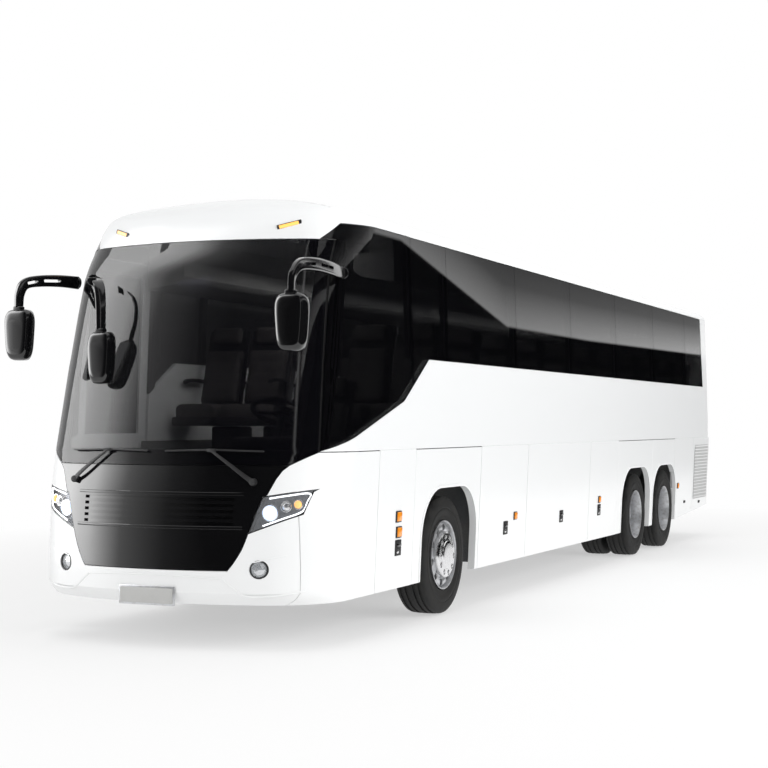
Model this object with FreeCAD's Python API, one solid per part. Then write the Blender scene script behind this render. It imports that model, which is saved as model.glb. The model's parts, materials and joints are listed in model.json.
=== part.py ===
import FreeCAD, Part
import functools
import math
import os

# Three-axle coach bus, in millimetres. +X is forward, +Y the vehicle's left, +Z up, the ground at z = 0.
# The origin is the middle of the whole box, mirrors included, on the ground.

# Whole body
BODY_LENGTH = 13700
BODY_WIDTH = 2550
BODY_HEIGHT = 3425
FRONT_OVERHANG = 2797
WHEELBASE = 6580
TAG_SPACING = 1494
MIRROR_LEAD = 420
MIRROR_REACH = 190

# Heights on the side
SKIRT_Z = 325
TAIL_SKIRT_Z = 450
WAIST_Z = 1427
SILL_Z = 2168
CANT_Z = 3160

# Leaning sides and the roof's section
SKIRT_TUCK = 50
CANT_LEAN = 65
ROOF_EDGE_DROP = 150
ROOF_EDGE_INSET = 215
ROOF_EDGE_BULGE = 28

# Thicknesses and gaps
WALL = 60
FLAP = 40
PANE = 24
SCREEN = 12
SEAM = 6
FLAP_GAP = 8
FIT = 0.3
REBATE = 30
HINGE_RADIUS = 5
OVERRUN = 200

# Nose: radii in plan, and how far it stands back at each height
CROWN_RADIUS = 2360
CORNER_RADIUS = 590
NOSE_RAKE = 1290
NOSE_SHARES = (
    (0.0949, 0.0837), (0.1168, 0.0124), (0.1752, 0.0150), (0.3154, 0.0450), (0.4166, 0.1038), (0.5985, 0.2100),
    (0.8117, 0.3574), (0.8818, 0.4628), (0.9372, 0.5705), (0.9723, 0.6977), (1.0030, 1.0),
)

# Tail in plan
TAIL_CROWN_RADIUS = 6000
TAIL_CORNER_RADIUS = 150

# Wheel arches: half width, shift of the opening from its axle, height and corner radius
FRONT_ARCH_HALF = 652
FRONT_ARCH_SHIFT = -87
DRIVE_ARCH_HALF = 692
TAG_ARCH_HALF = 640
REAR_ARCH_SHIFT = 56
ARCH_TOP_Z = 1102
ARCH_CORNER = 420

# Lower side panels, front to rear
FRONT_ARCH_LEAD = 180
FRONT_ARCH_TRAIL = 86
DRIVE_ARCH_LEAD = 225
LOCKER_LENGTH = 748
TAG_PANEL_TRAIL = 466
TAIL_SEAM = 163
ENGINE_FLAP_SHARE = 0.4736
BAY_SEAM_SHARES = (0, 0.285, 0.75, 1)

# Side windows and pillars
FIRST_PILLAR_BACK = 60
PILLAR_PITCH = 1860
PILLAR_COUNT = 6
PILLAR_WIDTH = 90
BAND_TAIL = 465
BAND_TAIL_LEAN = 45
DIAGONAL_REAR = 405
DIAGONAL_BEND = 972
DIAGONAL_BEND_DROP = 354
GAP_LINE_FOOT = 2307
GAP_LINE_HEAD = 1880
BAND_LEAD = 274
BAND_LEAD_DROP = 77
SCREEN_TOP_Z = 3025
BAND_STEP_Z = 3012
BAND_STEP_FRONT = 1981
BAND_STEP_REAR = 1786

# Front outlines, from the middle
SCREEN_BASE_Z = 1330
SCREEN_BASE_HALF = 978
SCREEN_FOOT_HALF = 1142
SCREEN_HEAD_HALF = 1068
MASK_BASE_Z = 578
MASK_BASE_HALF = 603
MASK_LAMP_LOW = (740, 843)
MASK_LAMP_HIGH = (828, 1109)
MASK_NECK = (857, 1122)
MASK_SHOULDER = (905, 1233)
MASK_CORNER = (942, 1295)
LAMP_OUTER_LOW = (1084, 982)
LAMP_OUTER_HIGH = (1133, 1143)
LAMP_TIP = (1162, 1163)
CORNER_SEAM = 2469
LOUVRE_LOW_Z = 905
LOUVRE_HIGH_Z = 1125
LOUVRE_HALF = 640
LOUVRE_COUNT = 5
LOUVRE_DEPTH = 18
FOG_Y = 823
FOG_Z = 589
FOG_RADIUS = 64

# Chassis, floors and bulkheads
RAIL_Y = 430
RAIL_WIDTH = 80
RAIL_LOW_Z = 660
RAIL_HIGH_Z = 790
CROSS_LENGTH = 90
CROSS_PITCH = 1150
JACK_PAD = 12
JACK_LEAD = 457
FLOOR_Z = 1350
FLOOR = 60
FLOOR_LIP = 130
CAB_FLOOR_Z = 850
CAB_FLOOR_FRONT = 2330
CAB_STEP_BACK = 950
BAY_FLOOR_Z = 440
BAY_FLOOR = 60
BULKHEAD = 30
STAIR_DEPTH = 640
STEP_COUNT = 3

# Doors on the right side
FRONT_DOOR_FRONT = 1904
FRONT_DOOR_LENGTH = 1040
MIDDLE_DOOR_LENGTH = 820
MIDDLE_DOOR_LEAD = 190
DOOR_TOP_Z = 3000
DOOR_FRAME = 90
DOOR_GAP = 10
DOOR_HINGE_RADIUS = 8
DOOR_HINGE_LENGTH = 260

# Wheels: the tyre on its rim, and where the wheels stand
TYRE_RADIUS = 512
TYRE_WIDTH = 295
RIM_RADIUS = 286
RIM_REACH = 160
RIM_WALL = 14
TYRE_FACE_Y = 1235
TWIN_PITCH = 335
HUB_RADIUS = 140
COVER_RADIUS = 196
COVER_FACE = 162
HUB_END = 8
HUB_STAND = 60
CAP_RADIUS = 112
CAP_FACE = 180
DISC_SEAT = 60
DISC_WALL = 14
DISH_DEPTH = 84
STUB_RADIUS = 45
STUB_END = 100
REAR_STUB_END = 40
STUB_CLEARANCE = 0.05
HAND_HOLES = 10
HAND_HOLE_RADIUS = 29
HAND_HOLE_CIRCLE = 235

# Front axle and knuckles
KINGPIN_Y = 905
KINGPIN_RADIUS = 28
KINGPIN_EYE = 60
KNUCKLE_WEB = 45
BEAM_WIDTH = 120
BEAM_HEIGHT = 110
BEAM_DROP = 90

# Rear axles
TUBE_RADIUS = 75
DIFFERENTIAL_RADIUS = 190
DIFFERENTIAL_LENGTH = 330
TAG_BEAM = 120

# Air bellows
BELLOWS_RADIUS = 125
BELLOWS_PAD = 10

# Engine
ENGINE_LENGTH = 1350
ENGINE_HEIGHT = 780
ENGINE_LOW_Z = 480
ENGINE_BACK = 330

# Tail: hatch, window, lamps and bumper
HATCH_HALF = 850
HATCH_LOW_Z = 660
HATCH_HIGH_Z = 1560
HATCH_BARREL_HALF = 250
REAR_WINDOW_HALF = 900
REAR_WINDOW_LOW_Z = 2230
REAR_WINDOW_HIGH_Z = 2960
TAIL_LAMP_INNER = 930
TAIL_LAMP_WIDTH = 150
TAIL_LAMP_LOW_Z = 880
TAIL_LAMP_HIGH_Z = 1390

# Roof hatches
ROOF_HATCH_HALF = 300
ROOF_HATCH_LIP = 35
ROOF_HATCH_RISE = 30
ROOF_HATCH_BACKS = (1400, 8200)

# Grille in the engine side flap
GRILLE_MARGIN = 110
GRILLE_SLATS = 7
GRILLE_SLAT = 26
GRILLE_DEPTH = 22

# Seats, racks and the driver's place
SEAT_ROWS = 11
SEAT_PITCH = 985
SEAT_FIRST_BACK = 20
SEAT_PAIR_WIDTH = 900
SEAT_OUTER_Y = 1170
SEAT_FOOT_HEIGHT = 190
SEAT_CUSHION_HEIGHT = 460
SEAT_CUSHION_LENGTH = 470
SEAT_BACK_HEIGHT = 1190
SEAT_BACK_THICK = 120
SEAT_BACK_RAKE = 190
SEAT_FOOT_LENGTH = 260
SEAT_FOOT_WIDTH = 300
RACK_DEPTH = 420
RACK_LOW_Z = 2830
RACK_HIGH_Z = 3020
RACK_EDGE = 60
DRIVER_Y = 640
DRIVER_BACK = 1150
STEERING_RADIUS = 235
STEERING_TUBE = 16
STEERING_TILT = 25
STEERING_LEAD = 1900
STEERING_HEIGHT = 860
DASH_BACK = 2000
DASH_HIGH_Z = 1440
DASH_LOW_Z = 1120

# Wipers
WIPER_PIVOT_HALF = 760
WIPER_PIVOT_Z = 1215
WIPER_Z = 1430
WIPER_TUBE = 26
WIPER_STAND = 8
WIPER_BLADE = 760
WIPER_PART = 60

# Mirrors
MIRROR_TUBE = 22
MIRROR_SECTION = 6
MIRROR_HEAD_DEPTH = 110
MIRROR_HEAD_WIDTH = 250
MIRROR_HEAD_HEIGHT = 400
MIRROR_HEAD_Z = 2320
MIRROR_MOUNT_Z = BODY_HEIGHT * NOSE_SHARES[MIRROR_SECTION][0]
MIRROR_BEND_Z = 2640
MIRROR_LEFT_BASE = 1930
MIRROR_RIGHT_BASE = 1990
MIRROR_RIGHT_HEAD = 2480
KERB_BASE = 2150
KERB_HEAD = 2520
KERB_Y = 560
KERB_LOW_Z = 1930
KERB_BEND_Z = 2600
KERB_WIDTH = 220

# Places along the coach
HALF_BOX = (BODY_LENGTH + MIRROR_LEAD) / 2
NOSE_X = HALF_BOX - MIRROR_LEAD
TAIL_X = NOSE_X - BODY_LENGTH
FRONT_AXLE_X = NOSE_X - FRONT_OVERHANG
DRIVE_X = FRONT_AXLE_X - WHEELBASE
TAG_X = DRIVE_X - TAG_SPACING
FRONT_ARCH_X = FRONT_AXLE_X + FRONT_ARCH_SHIFT
DRIVE_ARCH_X = DRIVE_X + REAR_ARCH_SHIFT
TAG_ARCH_X = TAG_X + REAR_ARCH_SHIFT
FRONT_PANEL_FRONT_X = FRONT_ARCH_X + FRONT_ARCH_HALF + FRONT_ARCH_LEAD
FRONT_PANEL_REAR_X = FRONT_ARCH_X - FRONT_ARCH_HALF - FRONT_ARCH_TRAIL
NOSE_BACK_X = FRONT_PANEL_FRONT_X
LOCKER_FRONT_X = FRONT_PANEL_FRONT_X + LOCKER_LENGTH
DRIVE_PANEL_FRONT_X = DRIVE_ARCH_X + DRIVE_ARCH_HALF + DRIVE_ARCH_LEAD
ARCH_PILLAR_X = (DRIVE_ARCH_X - DRIVE_ARCH_HALF + TAG_ARCH_X + TAG_ARCH_HALF) / 2
TAG_PANEL_REAR_X = TAG_X - TAG_PANEL_TRAIL
TAIL_SEAM_X = TAIL_X + TAIL_SEAM
ENGINE_FLAP_FRONT_X = TAIL_SEAM_X + (TAG_PANEL_REAR_X - TAIL_SEAM_X) * ENGINE_FLAP_SHARE
BAND_TAIL_X = TAIL_X + BAND_TAIL
DOOR_FRONT_X = FRONT_AXLE_X + FRONT_DOOR_FRONT
DOOR_REAR_X = DOOR_FRONT_X - FRONT_DOOR_LENGTH
MIDDLE_DOOR_REAR_X = DRIVE_PANEL_FRONT_X + MIDDLE_DOOR_LEAD
MIDDLE_DOOR_FRONT_X = MIDDLE_DOOR_REAR_X + MIDDLE_DOOR_LENGTH
CORNER_SEAM_X = FRONT_AXLE_X + CORNER_SEAM
STEP_X = FRONT_AXLE_X + CAB_STEP_BACK
JACK_FRONT_X = FRONT_AXLE_X + JACK_LEAD
JACK_REAR_X = (DRIVE_X + TAG_X) / 2
WHEEL_Y = TYRE_FACE_Y - TYRE_WIDTH / 2
RAIL_MID_Y = RAIL_Y - RAIL_WIDTH / 2
HALF_WIDTH = BODY_WIDTH / 2
MIRROR_SIDE_Y = HALF_WIDTH + MIRROR_REACH


def at(x, y, z):
    return FreeCAD.Vector(x, y, z)


def block(x0, x1, y0, y1, z0, z1):
    return Part.makeBox(x1 - x0, y1 - y0, z1 - z0, at(x0, y0, z0))


def face_of(points, place):
    """A flat face; an entry of four numbers is reached by an arc through its second pair."""
    edges = []
    here = place(*points[0][:2])
    for entry in list(points[1:]) + [points[0]]:
        there = place(*entry[:2])
        if len(entry) == 4:
            edges.append(Part.Arc(here, place(*entry[2:]), there).toShape())
        else:
            edges.append(Part.LineSegment(here, there).toShape())
        here = there
    return Part.Face(Part.Wire(edges))


def along_x(points, x0, x1, grow=0):
    face = face_of(points, lambda y, z: at(x0, y, z))
    return (face.makeOffset2D(grow) if grow else face).extrude(at(x1 - x0, 0, 0))


def along_y(points, y0, y1, grow=0):
    face = face_of(points, lambda x, z: at(x, y0, z))
    return (face.makeOffset2D(grow) if grow else face).extrude(at(0, y1 - y0, 0))


def along_z(points, z0, z1):
    return face_of(points, lambda x, y: at(x, y, z0)).extrude(at(0, 0, z1 - z0))


def other_side(shape):
    return shape.mirror(at(0, 0, 0), at(0, 1, 0))


def both_sides(shape):
    return [shape, other_side(shape)]


def rod(start, end, radius):
    return Part.makeCylinder(radius, (end - start).Length, start, end - start)


def side_y(z):
    """Half the body's width at a height: widest at the waist, tucked in below and leaning in above."""
    if z < WAIST_Z:
        return HALF_WIDTH - SKIRT_TUCK * (WAIST_Z - z) / (WAIST_Z - SKIRT_Z)
    return HALF_WIDTH - CANT_LEAN * (min(z, CANT_Z) - WAIST_Z) / (CANT_Z - WAIST_Z)


def body_section(inset):
    """The body's section across, from the ground up and over the roof, moved in by a thickness."""
    edge_y = HALF_WIDTH - ROOF_EDGE_INSET
    crown = (edge_y ** 2 + ROOF_EDGE_DROP ** 2) / (2 * ROOF_EDGE_DROP)
    centre_z = BODY_HEIGHT - crown
    shrink = (crown - inset) / crown
    edge = (edge_y * shrink, centre_z + (BODY_HEIGHT - ROOF_EDGE_DROP - centre_z) * shrink)
    cant = (side_y(CANT_Z) - inset, CANT_Z)
    chord = math.hypot(cant[0] - edge[0], edge[1] - cant[1])
    bulge = ROOF_EDGE_BULGE / chord
    mid = ((cant[0] + edge[0]) / 2 + bulge * (edge[1] - cant[1]), (cant[1] + edge[1]) / 2 + bulge * (cant[0] - edge[0]))
    waist = (side_y(WAIST_Z) - inset, WAIST_Z)
    foot = (side_y(0) - inset, 0)
    return (
        (-foot[0], 0), foot, waist, cant, (edge[0], edge[1], mid[0], mid[1]), (-edge[0], edge[1], 0, BODY_HEIGHT - inset),
        (-cant[0], cant[1], -mid[0], mid[1]), (-waist[0], waist[1]),
    )


def body_solid(inset, x0, x1):
    return along_x(body_section(inset), x0, x1)


def body_shell(outer, inner, x0, x1):
    return body_solid(outer, x0, x1).cut(body_solid(inner, x0 - OVERRUN, x1 + OVERRUN))


def nose_plan(height_share, rake_share, inset=0):
    """Centres of the nose's crown and corner arcs at one height, and its half width."""
    side = side_y(BODY_HEIGHT * height_share) - inset
    crown_x = NOSE_X - NOSE_RAKE * rake_share - CROWN_RADIUS
    corner_x = crown_x + math.sqrt((CROWN_RADIUS - CORNER_RADIUS) ** 2 - (side - CORNER_RADIUS + inset) ** 2)
    return crown_x, corner_x, side


def nose_outline(height_share, rake_share, inset):
    """The nose in plan at one height: a wide crown arc, two corner arcs and straight sides."""
    crown_x, corner_x, side = nose_plan(height_share, rake_share, inset)
    crown = CROWN_RADIUS - inset
    corner = CORNER_RADIUS - inset
    spread = side - corner
    turn = math.atan2(spread, corner_x - crown_x)
    meet = (crown_x + crown * math.cos(turn), crown * math.sin(turn))
    half_turn = (turn + math.pi / 2) / 2
    mid = (corner_x + corner * math.cos(half_turn), spread + corner * math.sin(half_turn))
    back_x = NOSE_BACK_X - inset
    return (
        (back_x, -side), (corner_x, -side), (meet[0], -meet[1], mid[0], -mid[1]),
        (meet[0], meet[1], crown_x + crown, 0), (corner_x, side, mid[0], mid[1]), (back_x, side),
    )


@functools.cache
def nose_solid(inset):
    """The whole nose, moved in by a thickness."""
    wires = []
    for height_share, rake_share in NOSE_SHARES:
        z = BODY_HEIGHT * height_share
        wires.append(face_of(nose_outline(height_share, rake_share, inset), lambda x, y: at(x, y, z)).OuterWire)
    loft = Part.makeLoft(wires, True, True)
    return loft.common(body_solid(inset, NOSE_BACK_X - inset, NOSE_X + OVERRUN))


@functools.cache
def nose_shell(outer, inner):
    return nose_solid(outer).cut(nose_solid(inner))


@functools.cache
def tail_solid(inset):
    """The tail: a shallow crown across and tight corners, inside the body's own section."""
    side = HALF_WIDTH - inset
    corner = TAIL_CORNER_RADIUS - inset / 2
    crown = TAIL_CROWN_RADIUS
    crown_x = TAIL_X + inset + crown
    spread = side - corner
    corner_x = crown_x - math.sqrt((crown - corner) ** 2 - spread ** 2)
    turn = math.atan2(spread, crown_x - corner_x)
    meet = (crown_x - crown * math.cos(turn), crown * math.sin(turn))
    half_turn = (turn + math.pi / 2) / 2
    mid = (corner_x - corner * math.cos(half_turn), spread + corner * math.sin(half_turn))
    front_x = BAND_TAIL_X + inset
    plan = (
        (front_x, side), (corner_x, side), (meet[0], meet[1], mid[0], mid[1]),
        (meet[0], -meet[1], crown_x - crown, 0), (corner_x, -side, mid[0], -mid[1]), (front_x, -side),
    )
    return along_z(plan, 0, BODY_HEIGHT).common(body_solid(inset, TAIL_X - OVERRUN, front_x))


def low_cut():
    """Everything under the skirts' bottom edge, which rises behind the tag wheels."""
    return along_y((
        (NOSE_X + OVERRUN, -OVERRUN), (NOSE_X + OVERRUN, SKIRT_Z), (TAG_PANEL_REAR_X, SKIRT_Z),
        (TAIL_X, TAIL_SKIRT_Z), (TAIL_X - OVERRUN, TAIL_SKIRT_Z), (TAIL_X - OVERRUN, -OVERRUN),
    ), -BODY_WIDTH, BODY_WIDTH)


def arch_opening(x, half):
    """The wheel arch seen from the side: upright cheeks and a wide rounded top."""
    shoulder = ARCH_CORNER * (1 - math.sqrt(0.5))
    return (
        (x - half, 0), (x - half, ARCH_TOP_Z - ARCH_CORNER),
        (x - half + ARCH_CORNER, ARCH_TOP_Z, x - half + shoulder, ARCH_TOP_Z - shoulder),
        (x + half - ARCH_CORNER, ARCH_TOP_Z),
        (x + half, ARCH_TOP_Z - ARCH_CORNER, x + half - shoulder, ARCH_TOP_Z - shoulder), (x + half, 0),
    )


def arches():
    openings = ((FRONT_ARCH_X, FRONT_ARCH_HALF), (DRIVE_ARCH_X, DRIVE_ARCH_HALF), (TAG_ARCH_X, TAG_ARCH_HALF))
    return [along_y(arch_opening(x, half), -BODY_WIDTH, BODY_WIDTH) for x, half in openings]


def left_strip(shell, x0, x1, z0, z1):
    return shell.common(block(x0, x1, 0, BODY_WIDTH, z0, z1))


SHELL = body_shell(0, WALL, TAIL_X, NOSE_BACK_X)
THIN_SHELL = body_shell(0, FLAP, TAIL_X, LOCKER_FRONT_X)
NOSE_SHELL = nose_shell(0, WALL)
LOW_CUT = low_cut()
ARCHES = arches()


def trimmed(shape, *cutters):
    for cutter in (LOW_CUT,) + cutters:
        shape = shape.cut(cutter)
    return shape


def flap(x0, x1, side=1):
    """A lower side flap, hung at the waist."""
    panel = left_strip(THIN_SHELL, x0 + FLAP_GAP / 2, x1 - FLAP_GAP / 2, 0, WAIST_Z - FLAP_GAP / 2)
    panel = trimmed(panel, *ARCHES)
    z = WAIST_Z + FLAP_GAP / 2 - FIT - HINGE_RADIUS
    y = HALF_WIDTH - HINGE_RADIUS
    hinge = rod(at(x0 + FLAP_GAP, y, z), at(x1 - FLAP_GAP, y, z), HINGE_RADIUS)
    panel = panel.fuse(hinge).removeSplitter()
    return panel if side > 0 else other_side(panel)


def fixed_panel(x0, x1, side=1):
    """A lower side panel that stays put, as thick as the wall, with its arch cut out."""
    panel = left_strip(SHELL, x0 + SEAM / 2, x1 - SEAM / 2, 0, WAIST_Z - SEAM / 2)
    panel = trimmed(panel, *ARCHES)
    return panel if side > 0 else other_side(panel)


def bay_seams():
    length = FRONT_PANEL_REAR_X - DRIVE_PANEL_FRONT_X
    return [FRONT_PANEL_REAR_X - length * share for share in BAY_SEAM_SHARES]


def window_band(grow=0):
    """The dark window band seen from the side, with the low driver's window at its front."""
    points = (
        (BAND_TAIL_X, SILL_Z), (FRONT_AXLE_X + DIAGONAL_REAR, SILL_Z),
        (FRONT_AXLE_X + DIAGONAL_BEND, SILL_Z - DIAGONAL_BEND_DROP),
        (FRONT_AXLE_X + GAP_LINE_FOOT + BAND_LEAD, WAIST_Z - BAND_LEAD_DROP),
        (FRONT_AXLE_X + GAP_LINE_HEAD + BAND_LEAD, BAND_STEP_Z), (FRONT_AXLE_X + BAND_STEP_FRONT, BAND_STEP_Z),
        (FRONT_AXLE_X + BAND_STEP_REAR, CANT_Z), (BAND_TAIL_X + BAND_TAIL_LEAN, CANT_Z),
    )
    return along_y(points, 0, BODY_WIDTH, grow)


def screen_points():
    return (
        (-SCREEN_BASE_HALF, SCREEN_BASE_Z), (SCREEN_BASE_HALF, SCREEN_BASE_Z), (SCREEN_FOOT_HALF, WAIST_Z),
        (SCREEN_HEAD_HALF, SCREEN_TOP_Z), (-SCREEN_HEAD_HALF, SCREEN_TOP_Z), (-SCREEN_FOOT_HALF, WAIST_Z),
    )


def screen_prism(grow=0):
    return along_x(screen_points(), NOSE_BACK_X + SEAM, NOSE_X + OVERRUN, grow)


def mask_points():
    """The dark mask under the windscreen, narrowing between the headlamps."""
    low = (MASK_BASE_HALF, MASK_BASE_Z)
    bend = (MASK_LAMP_LOW[0] - (MASK_LAMP_LOW[0] - low[0]) / 3, low[1] + (MASK_LAMP_LOW[1] - low[1]) / 2)
    right = [
        (MASK_LAMP_LOW[0], MASK_LAMP_LOW[1], bend[0], bend[1]), MASK_LAMP_HIGH, MASK_NECK, MASK_SHOULDER, MASK_CORNER,
        (SCREEN_BASE_HALF, SCREEN_BASE_Z - SEAM),
    ]
    left = [(-SCREEN_BASE_HALF, SCREEN_BASE_Z - SEAM)]
    left += [(-y, z) for y, z in (MASK_CORNER, MASK_SHOULDER, MASK_NECK, MASK_LAMP_HIGH, MASK_LAMP_LOW)]
    left += [(-low[0], low[1], -bend[0], bend[1])]
    return [low] + right + left


def mask_prism(grow=0):
    return along_x(mask_points(), CORNER_SEAM_X - WALL - OVERRUN, NOSE_X + OVERRUN, grow)


def lamp_prism(grow=0):
    points = (MASK_LAMP_LOW, LAMP_OUTER_LOW, LAMP_OUTER_HIGH, LAMP_TIP, MASK_LAMP_HIGH)
    return along_x(points, NOSE_BACK_X + SEAM, NOSE_X + OVERRUN, grow)


def fog_rod(radius):
    return rod(at(CORNER_SEAM_X, FOG_Y, FOG_Z), at(NOSE_X + OVERRUN, FOG_Y, FOG_Z), radius)


def windscreen():
    return nose_shell(0, SCREEN).common(screen_prism(-SEAM / 2))


def front_mask():
    mask = NOSE_SHELL.common(mask_prism(-SEAM / 2))
    for lamp in both_sides(lamp_prism(SEAM / 2)):
        mask = mask.cut(lamp)
    pitch = (LOUVRE_HIGH_Z - LOUVRE_LOW_Z) / LOUVRE_COUNT
    slots = []
    for index in range(LOUVRE_COUNT):
        low = LOUVRE_LOW_Z + pitch * index
        slots.append(block(CORNER_SEAM_X, NOSE_X + OVERRUN, -LOUVRE_HALF, LOUVRE_HALF, low, low + pitch / 2))
    return mask.cut(Part.makeCompound(slots).cut(nose_solid(LOUVRE_DEPTH)))


def fascia_zone(grow):
    """What lies ahead of the corner seams and under the headlamps' top edges."""
    top = LAMP_TIP[1]
    points = (
        (-BODY_WIDTH, 0), (BODY_WIDTH, 0), (BODY_WIDTH, top), LAMP_TIP, MASK_LAMP_HIGH,
        (-MASK_LAMP_HIGH[0], MASK_LAMP_HIGH[1]), (-LAMP_TIP[0], top), (-BODY_WIDTH, top),
    )
    return along_x(points, CORNER_SEAM_X - grow, NOSE_X + OVERRUN, grow)


def front_fascia():
    """The white front below the corner panels, round the mask and the lamps."""
    fascia = NOSE_SHELL.common(fascia_zone(-SEAM / 2))
    fascia = trimmed(fascia, mask_prism(SEAM / 2))
    for cutter in both_sides(lamp_prism(SEAM / 2)) + both_sides(fog_rod(FOG_RADIUS + SEAM / 2)):
        fascia = fascia.cut(cutter)
    return fascia


def front_corner(side):
    """The white corner between the front and the side, up to the waist."""
    corner = NOSE_SHELL.common(block(NOSE_BACK_X, NOSE_X, 0, BODY_WIDTH, 0, WAIST_Z - SEAM / 2))
    cutters = (fascia_zone(SEAM / 2), mask_prism(SEAM / 2), screen_prism(SEAM / 2), lamp_prism(SEAM / 2))
    corner = trimmed(corner, *cutters)
    if side > 0:
        return corner.cut(block(TAIL_X, LOCKER_FRONT_X + SEAM / 2, 0, BODY_WIDTH, 0, WAIST_Z))
    return other_side(corner.cut(block(TAIL_X, DOOR_FRONT_X + DOOR_GAP, 0, BODY_WIDTH, 0, WAIST_Z)))


def front_lamps():
    lamps = []
    for lamp in both_sides(lamp_prism()) + both_sides(fog_rod(FOG_RADIUS)):
        lamps.append(NOSE_SHELL.common(lamp))
    return lamps


def front_cap():
    """The white roof front over the windscreen and the driver's window."""
    cap = NOSE_SHELL.common(block(NOSE_BACK_X, NOSE_X, -BODY_WIDTH, BODY_WIDTH, BAND_STEP_Z - SEAM, BODY_HEIGHT))
    cutters = [screen_prism(SEAM)] + both_sides(window_band(SEAM))
    for cutter in cutters:
        cap = cap.cut(cutter)
    return max(cap.Solids, key=lambda solid: solid.Volume)


def front_door_zone(grow=0):
    half = DOOR_GAP + grow
    return block(DOOR_REAR_X - half, DOOR_FRONT_X + half, -BODY_WIDTH, 0, 0, DOOR_TOP_Z + half)


def middle_door_zone(grow=0):
    half = DOOR_GAP + grow
    return block(MIDDLE_DOOR_REAR_X - half, MIDDLE_DOOR_FRONT_X + half, -BODY_WIDTH, 0, 0, DOOR_TOP_Z + half)


def side_wall(side):
    """The white wall from the waist to the window sill, tapering to a point under the driver's window."""
    region = block(BAND_TAIL_X, FRONT_AXLE_X + GAP_LINE_FOOT + WALL, 0, BODY_WIDTH, WAIST_Z + FLAP_GAP / 2, SILL_Z)
    rear = SHELL.common(region).cut(window_band())
    front = NOSE_SHELL.common(region).cut(window_band()).cut(screen_prism(SEAM))
    wall = rear.fuse(front).removeSplitter()
    if side > 0:
        return wall
    return other_side(wall).cut(front_door_zone()).cut(middle_door_zone())


def pillar_places():
    """Middles of the posts along the straight side, the first where the nose starts."""
    places = [FRONT_AXLE_X - FIRST_PILLAR_BACK - PILLAR_PITCH * index for index in range(PILLAR_COUNT)]
    return [NOSE_BACK_X] + places


def side_windows(side):
    """The panes of the window band, parted at the pillars."""
    band = window_band(-SEAM / 2)
    rear = body_shell(0, PANE, TAIL_X, NOSE_BACK_X).common(band)
    front = nose_shell(0, PANE).common(band).cut(screen_prism(SEAM))
    for x in pillar_places():
        rear = rear.cut(block(x - SEAM / 2, x + SEAM / 2, 0, BODY_WIDTH, 0, BODY_HEIGHT))
    front = front.cut(block(TAIL_X, NOSE_BACK_X + SEAM / 2, 0, BODY_WIDTH, 0, BODY_HEIGHT))
    panes = rear.Solids + front.Solids
    if side > 0:
        return panes
    cut = []
    for pane in panes:
        cut += other_side(pane).cut(front_door_zone()).cut(middle_door_zone()).cut(door_post_seams()).Solids
    return cut


def door_post_places():
    """Middles of the posts beside both doors."""
    reach = DOOR_GAP + PILLAR_WIDTH / 2
    edges = (DOOR_REAR_X - reach, DOOR_FRONT_X + reach, MIDDLE_DOOR_REAR_X - reach, MIDDLE_DOOR_FRONT_X + reach)
    return edges


def door_post_seams():
    """Seams over the doors: at the front door's rear edge, level with its top, and over the middle door's posts."""
    level = DOOR_TOP_Z + DOOR_GAP
    cuts = [block(DOOR_FRONT_X, NOSE_X, -BODY_WIDTH, 0, level - SEAM, level)]
    for x in (DOOR_REAR_X - DOOR_GAP + SEAM / 2,) + door_post_places()[2:]:
        cuts.append(block(x - SEAM / 2, x + SEAM / 2, -BODY_WIDTH, 0, DOOR_TOP_Z, BODY_HEIGHT))
    return Part.makeCompound(cuts)


def window_pillars():
    """Posts behind the glass, between the side wall and the roof, and the posts beside the windscreen."""
    posts = []
    half = PILLAR_WIDTH / 2
    ring = body_shell(PANE, WALL, TAIL_X, LOCKER_FRONT_X)
    for x in pillar_places():
        post = ring.common(block(x - half, x + half, 0, BODY_WIDTH, SILL_Z, CANT_Z))
        posts += [post, other_side(post)]
    for x in door_post_places():
        shell = nose_shell(PANE, WALL) if x > NOSE_BACK_X else ring
        post = shell.common(block(x - half, x + half, 0, BODY_WIDTH, WAIST_Z, CANT_Z))
        posts.append(other_side(post.common(window_band())))
    post = screen_post()
    over_door = block(DOOR_REAR_X, DOOR_FRONT_X + DOOR_GAP + SEAM, -BODY_WIDTH, 0, 0, BODY_HEIGHT)
    posts += [post, other_side(post).cut(over_door)]
    return posts[0].fuse(posts[1:]).Solids


def screen_post():
    """The post behind the joint between the windscreen and the side glass."""
    foot_x = FRONT_AXLE_X + GAP_LINE_FOOT
    head_x = FRONT_AXLE_X + GAP_LINE_HEAD
    points = (
        (foot_x - PILLAR_WIDTH, WAIST_Z), (foot_x + PILLAR_WIDTH, WAIST_Z), (head_x + PILLAR_WIDTH, SCREEN_TOP_Z),
        (head_x - PILLAR_WIDTH, SCREEN_TOP_Z),
    )
    post = nose_shell(SCREEN, WALL).common(along_y(points, 0, BODY_WIDTH))
    post = post.cut(nose_shell(0, PANE).common(window_band(-SEAM / 2)).cut(screen_prism(SEAM))).cut(side_wall(1))
    return max(post.Solids, key=lambda solid: solid.Volume)


def roof():
    top = SHELL.common(block(BAND_TAIL_X, NOSE_BACK_X, -BODY_WIDTH, BODY_WIDTH, CANT_Z, BODY_HEIGHT))
    for x in roof_hatch_places():
        hole = ROOF_HATCH_HALF
        top = top.cut(block(x - hole, x + hole, -hole, hole, CANT_Z, BODY_HEIGHT))
    return top


def roof_hatch_places():
    return [FRONT_AXLE_X - back for back in ROOF_HATCH_BACKS]


def roof_hatch(x):
    reach = ROOF_HATCH_HALF + ROOF_HATCH_LIP
    lid = body_shell(-ROOF_HATCH_RISE, -FIT, x - reach, x + reach)
    lid = lid.common(block(x - reach, x + reach, -reach, reach, CANT_Z, BODY_HEIGHT + ROOF_HATCH_RISE))
    return lid


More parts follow.
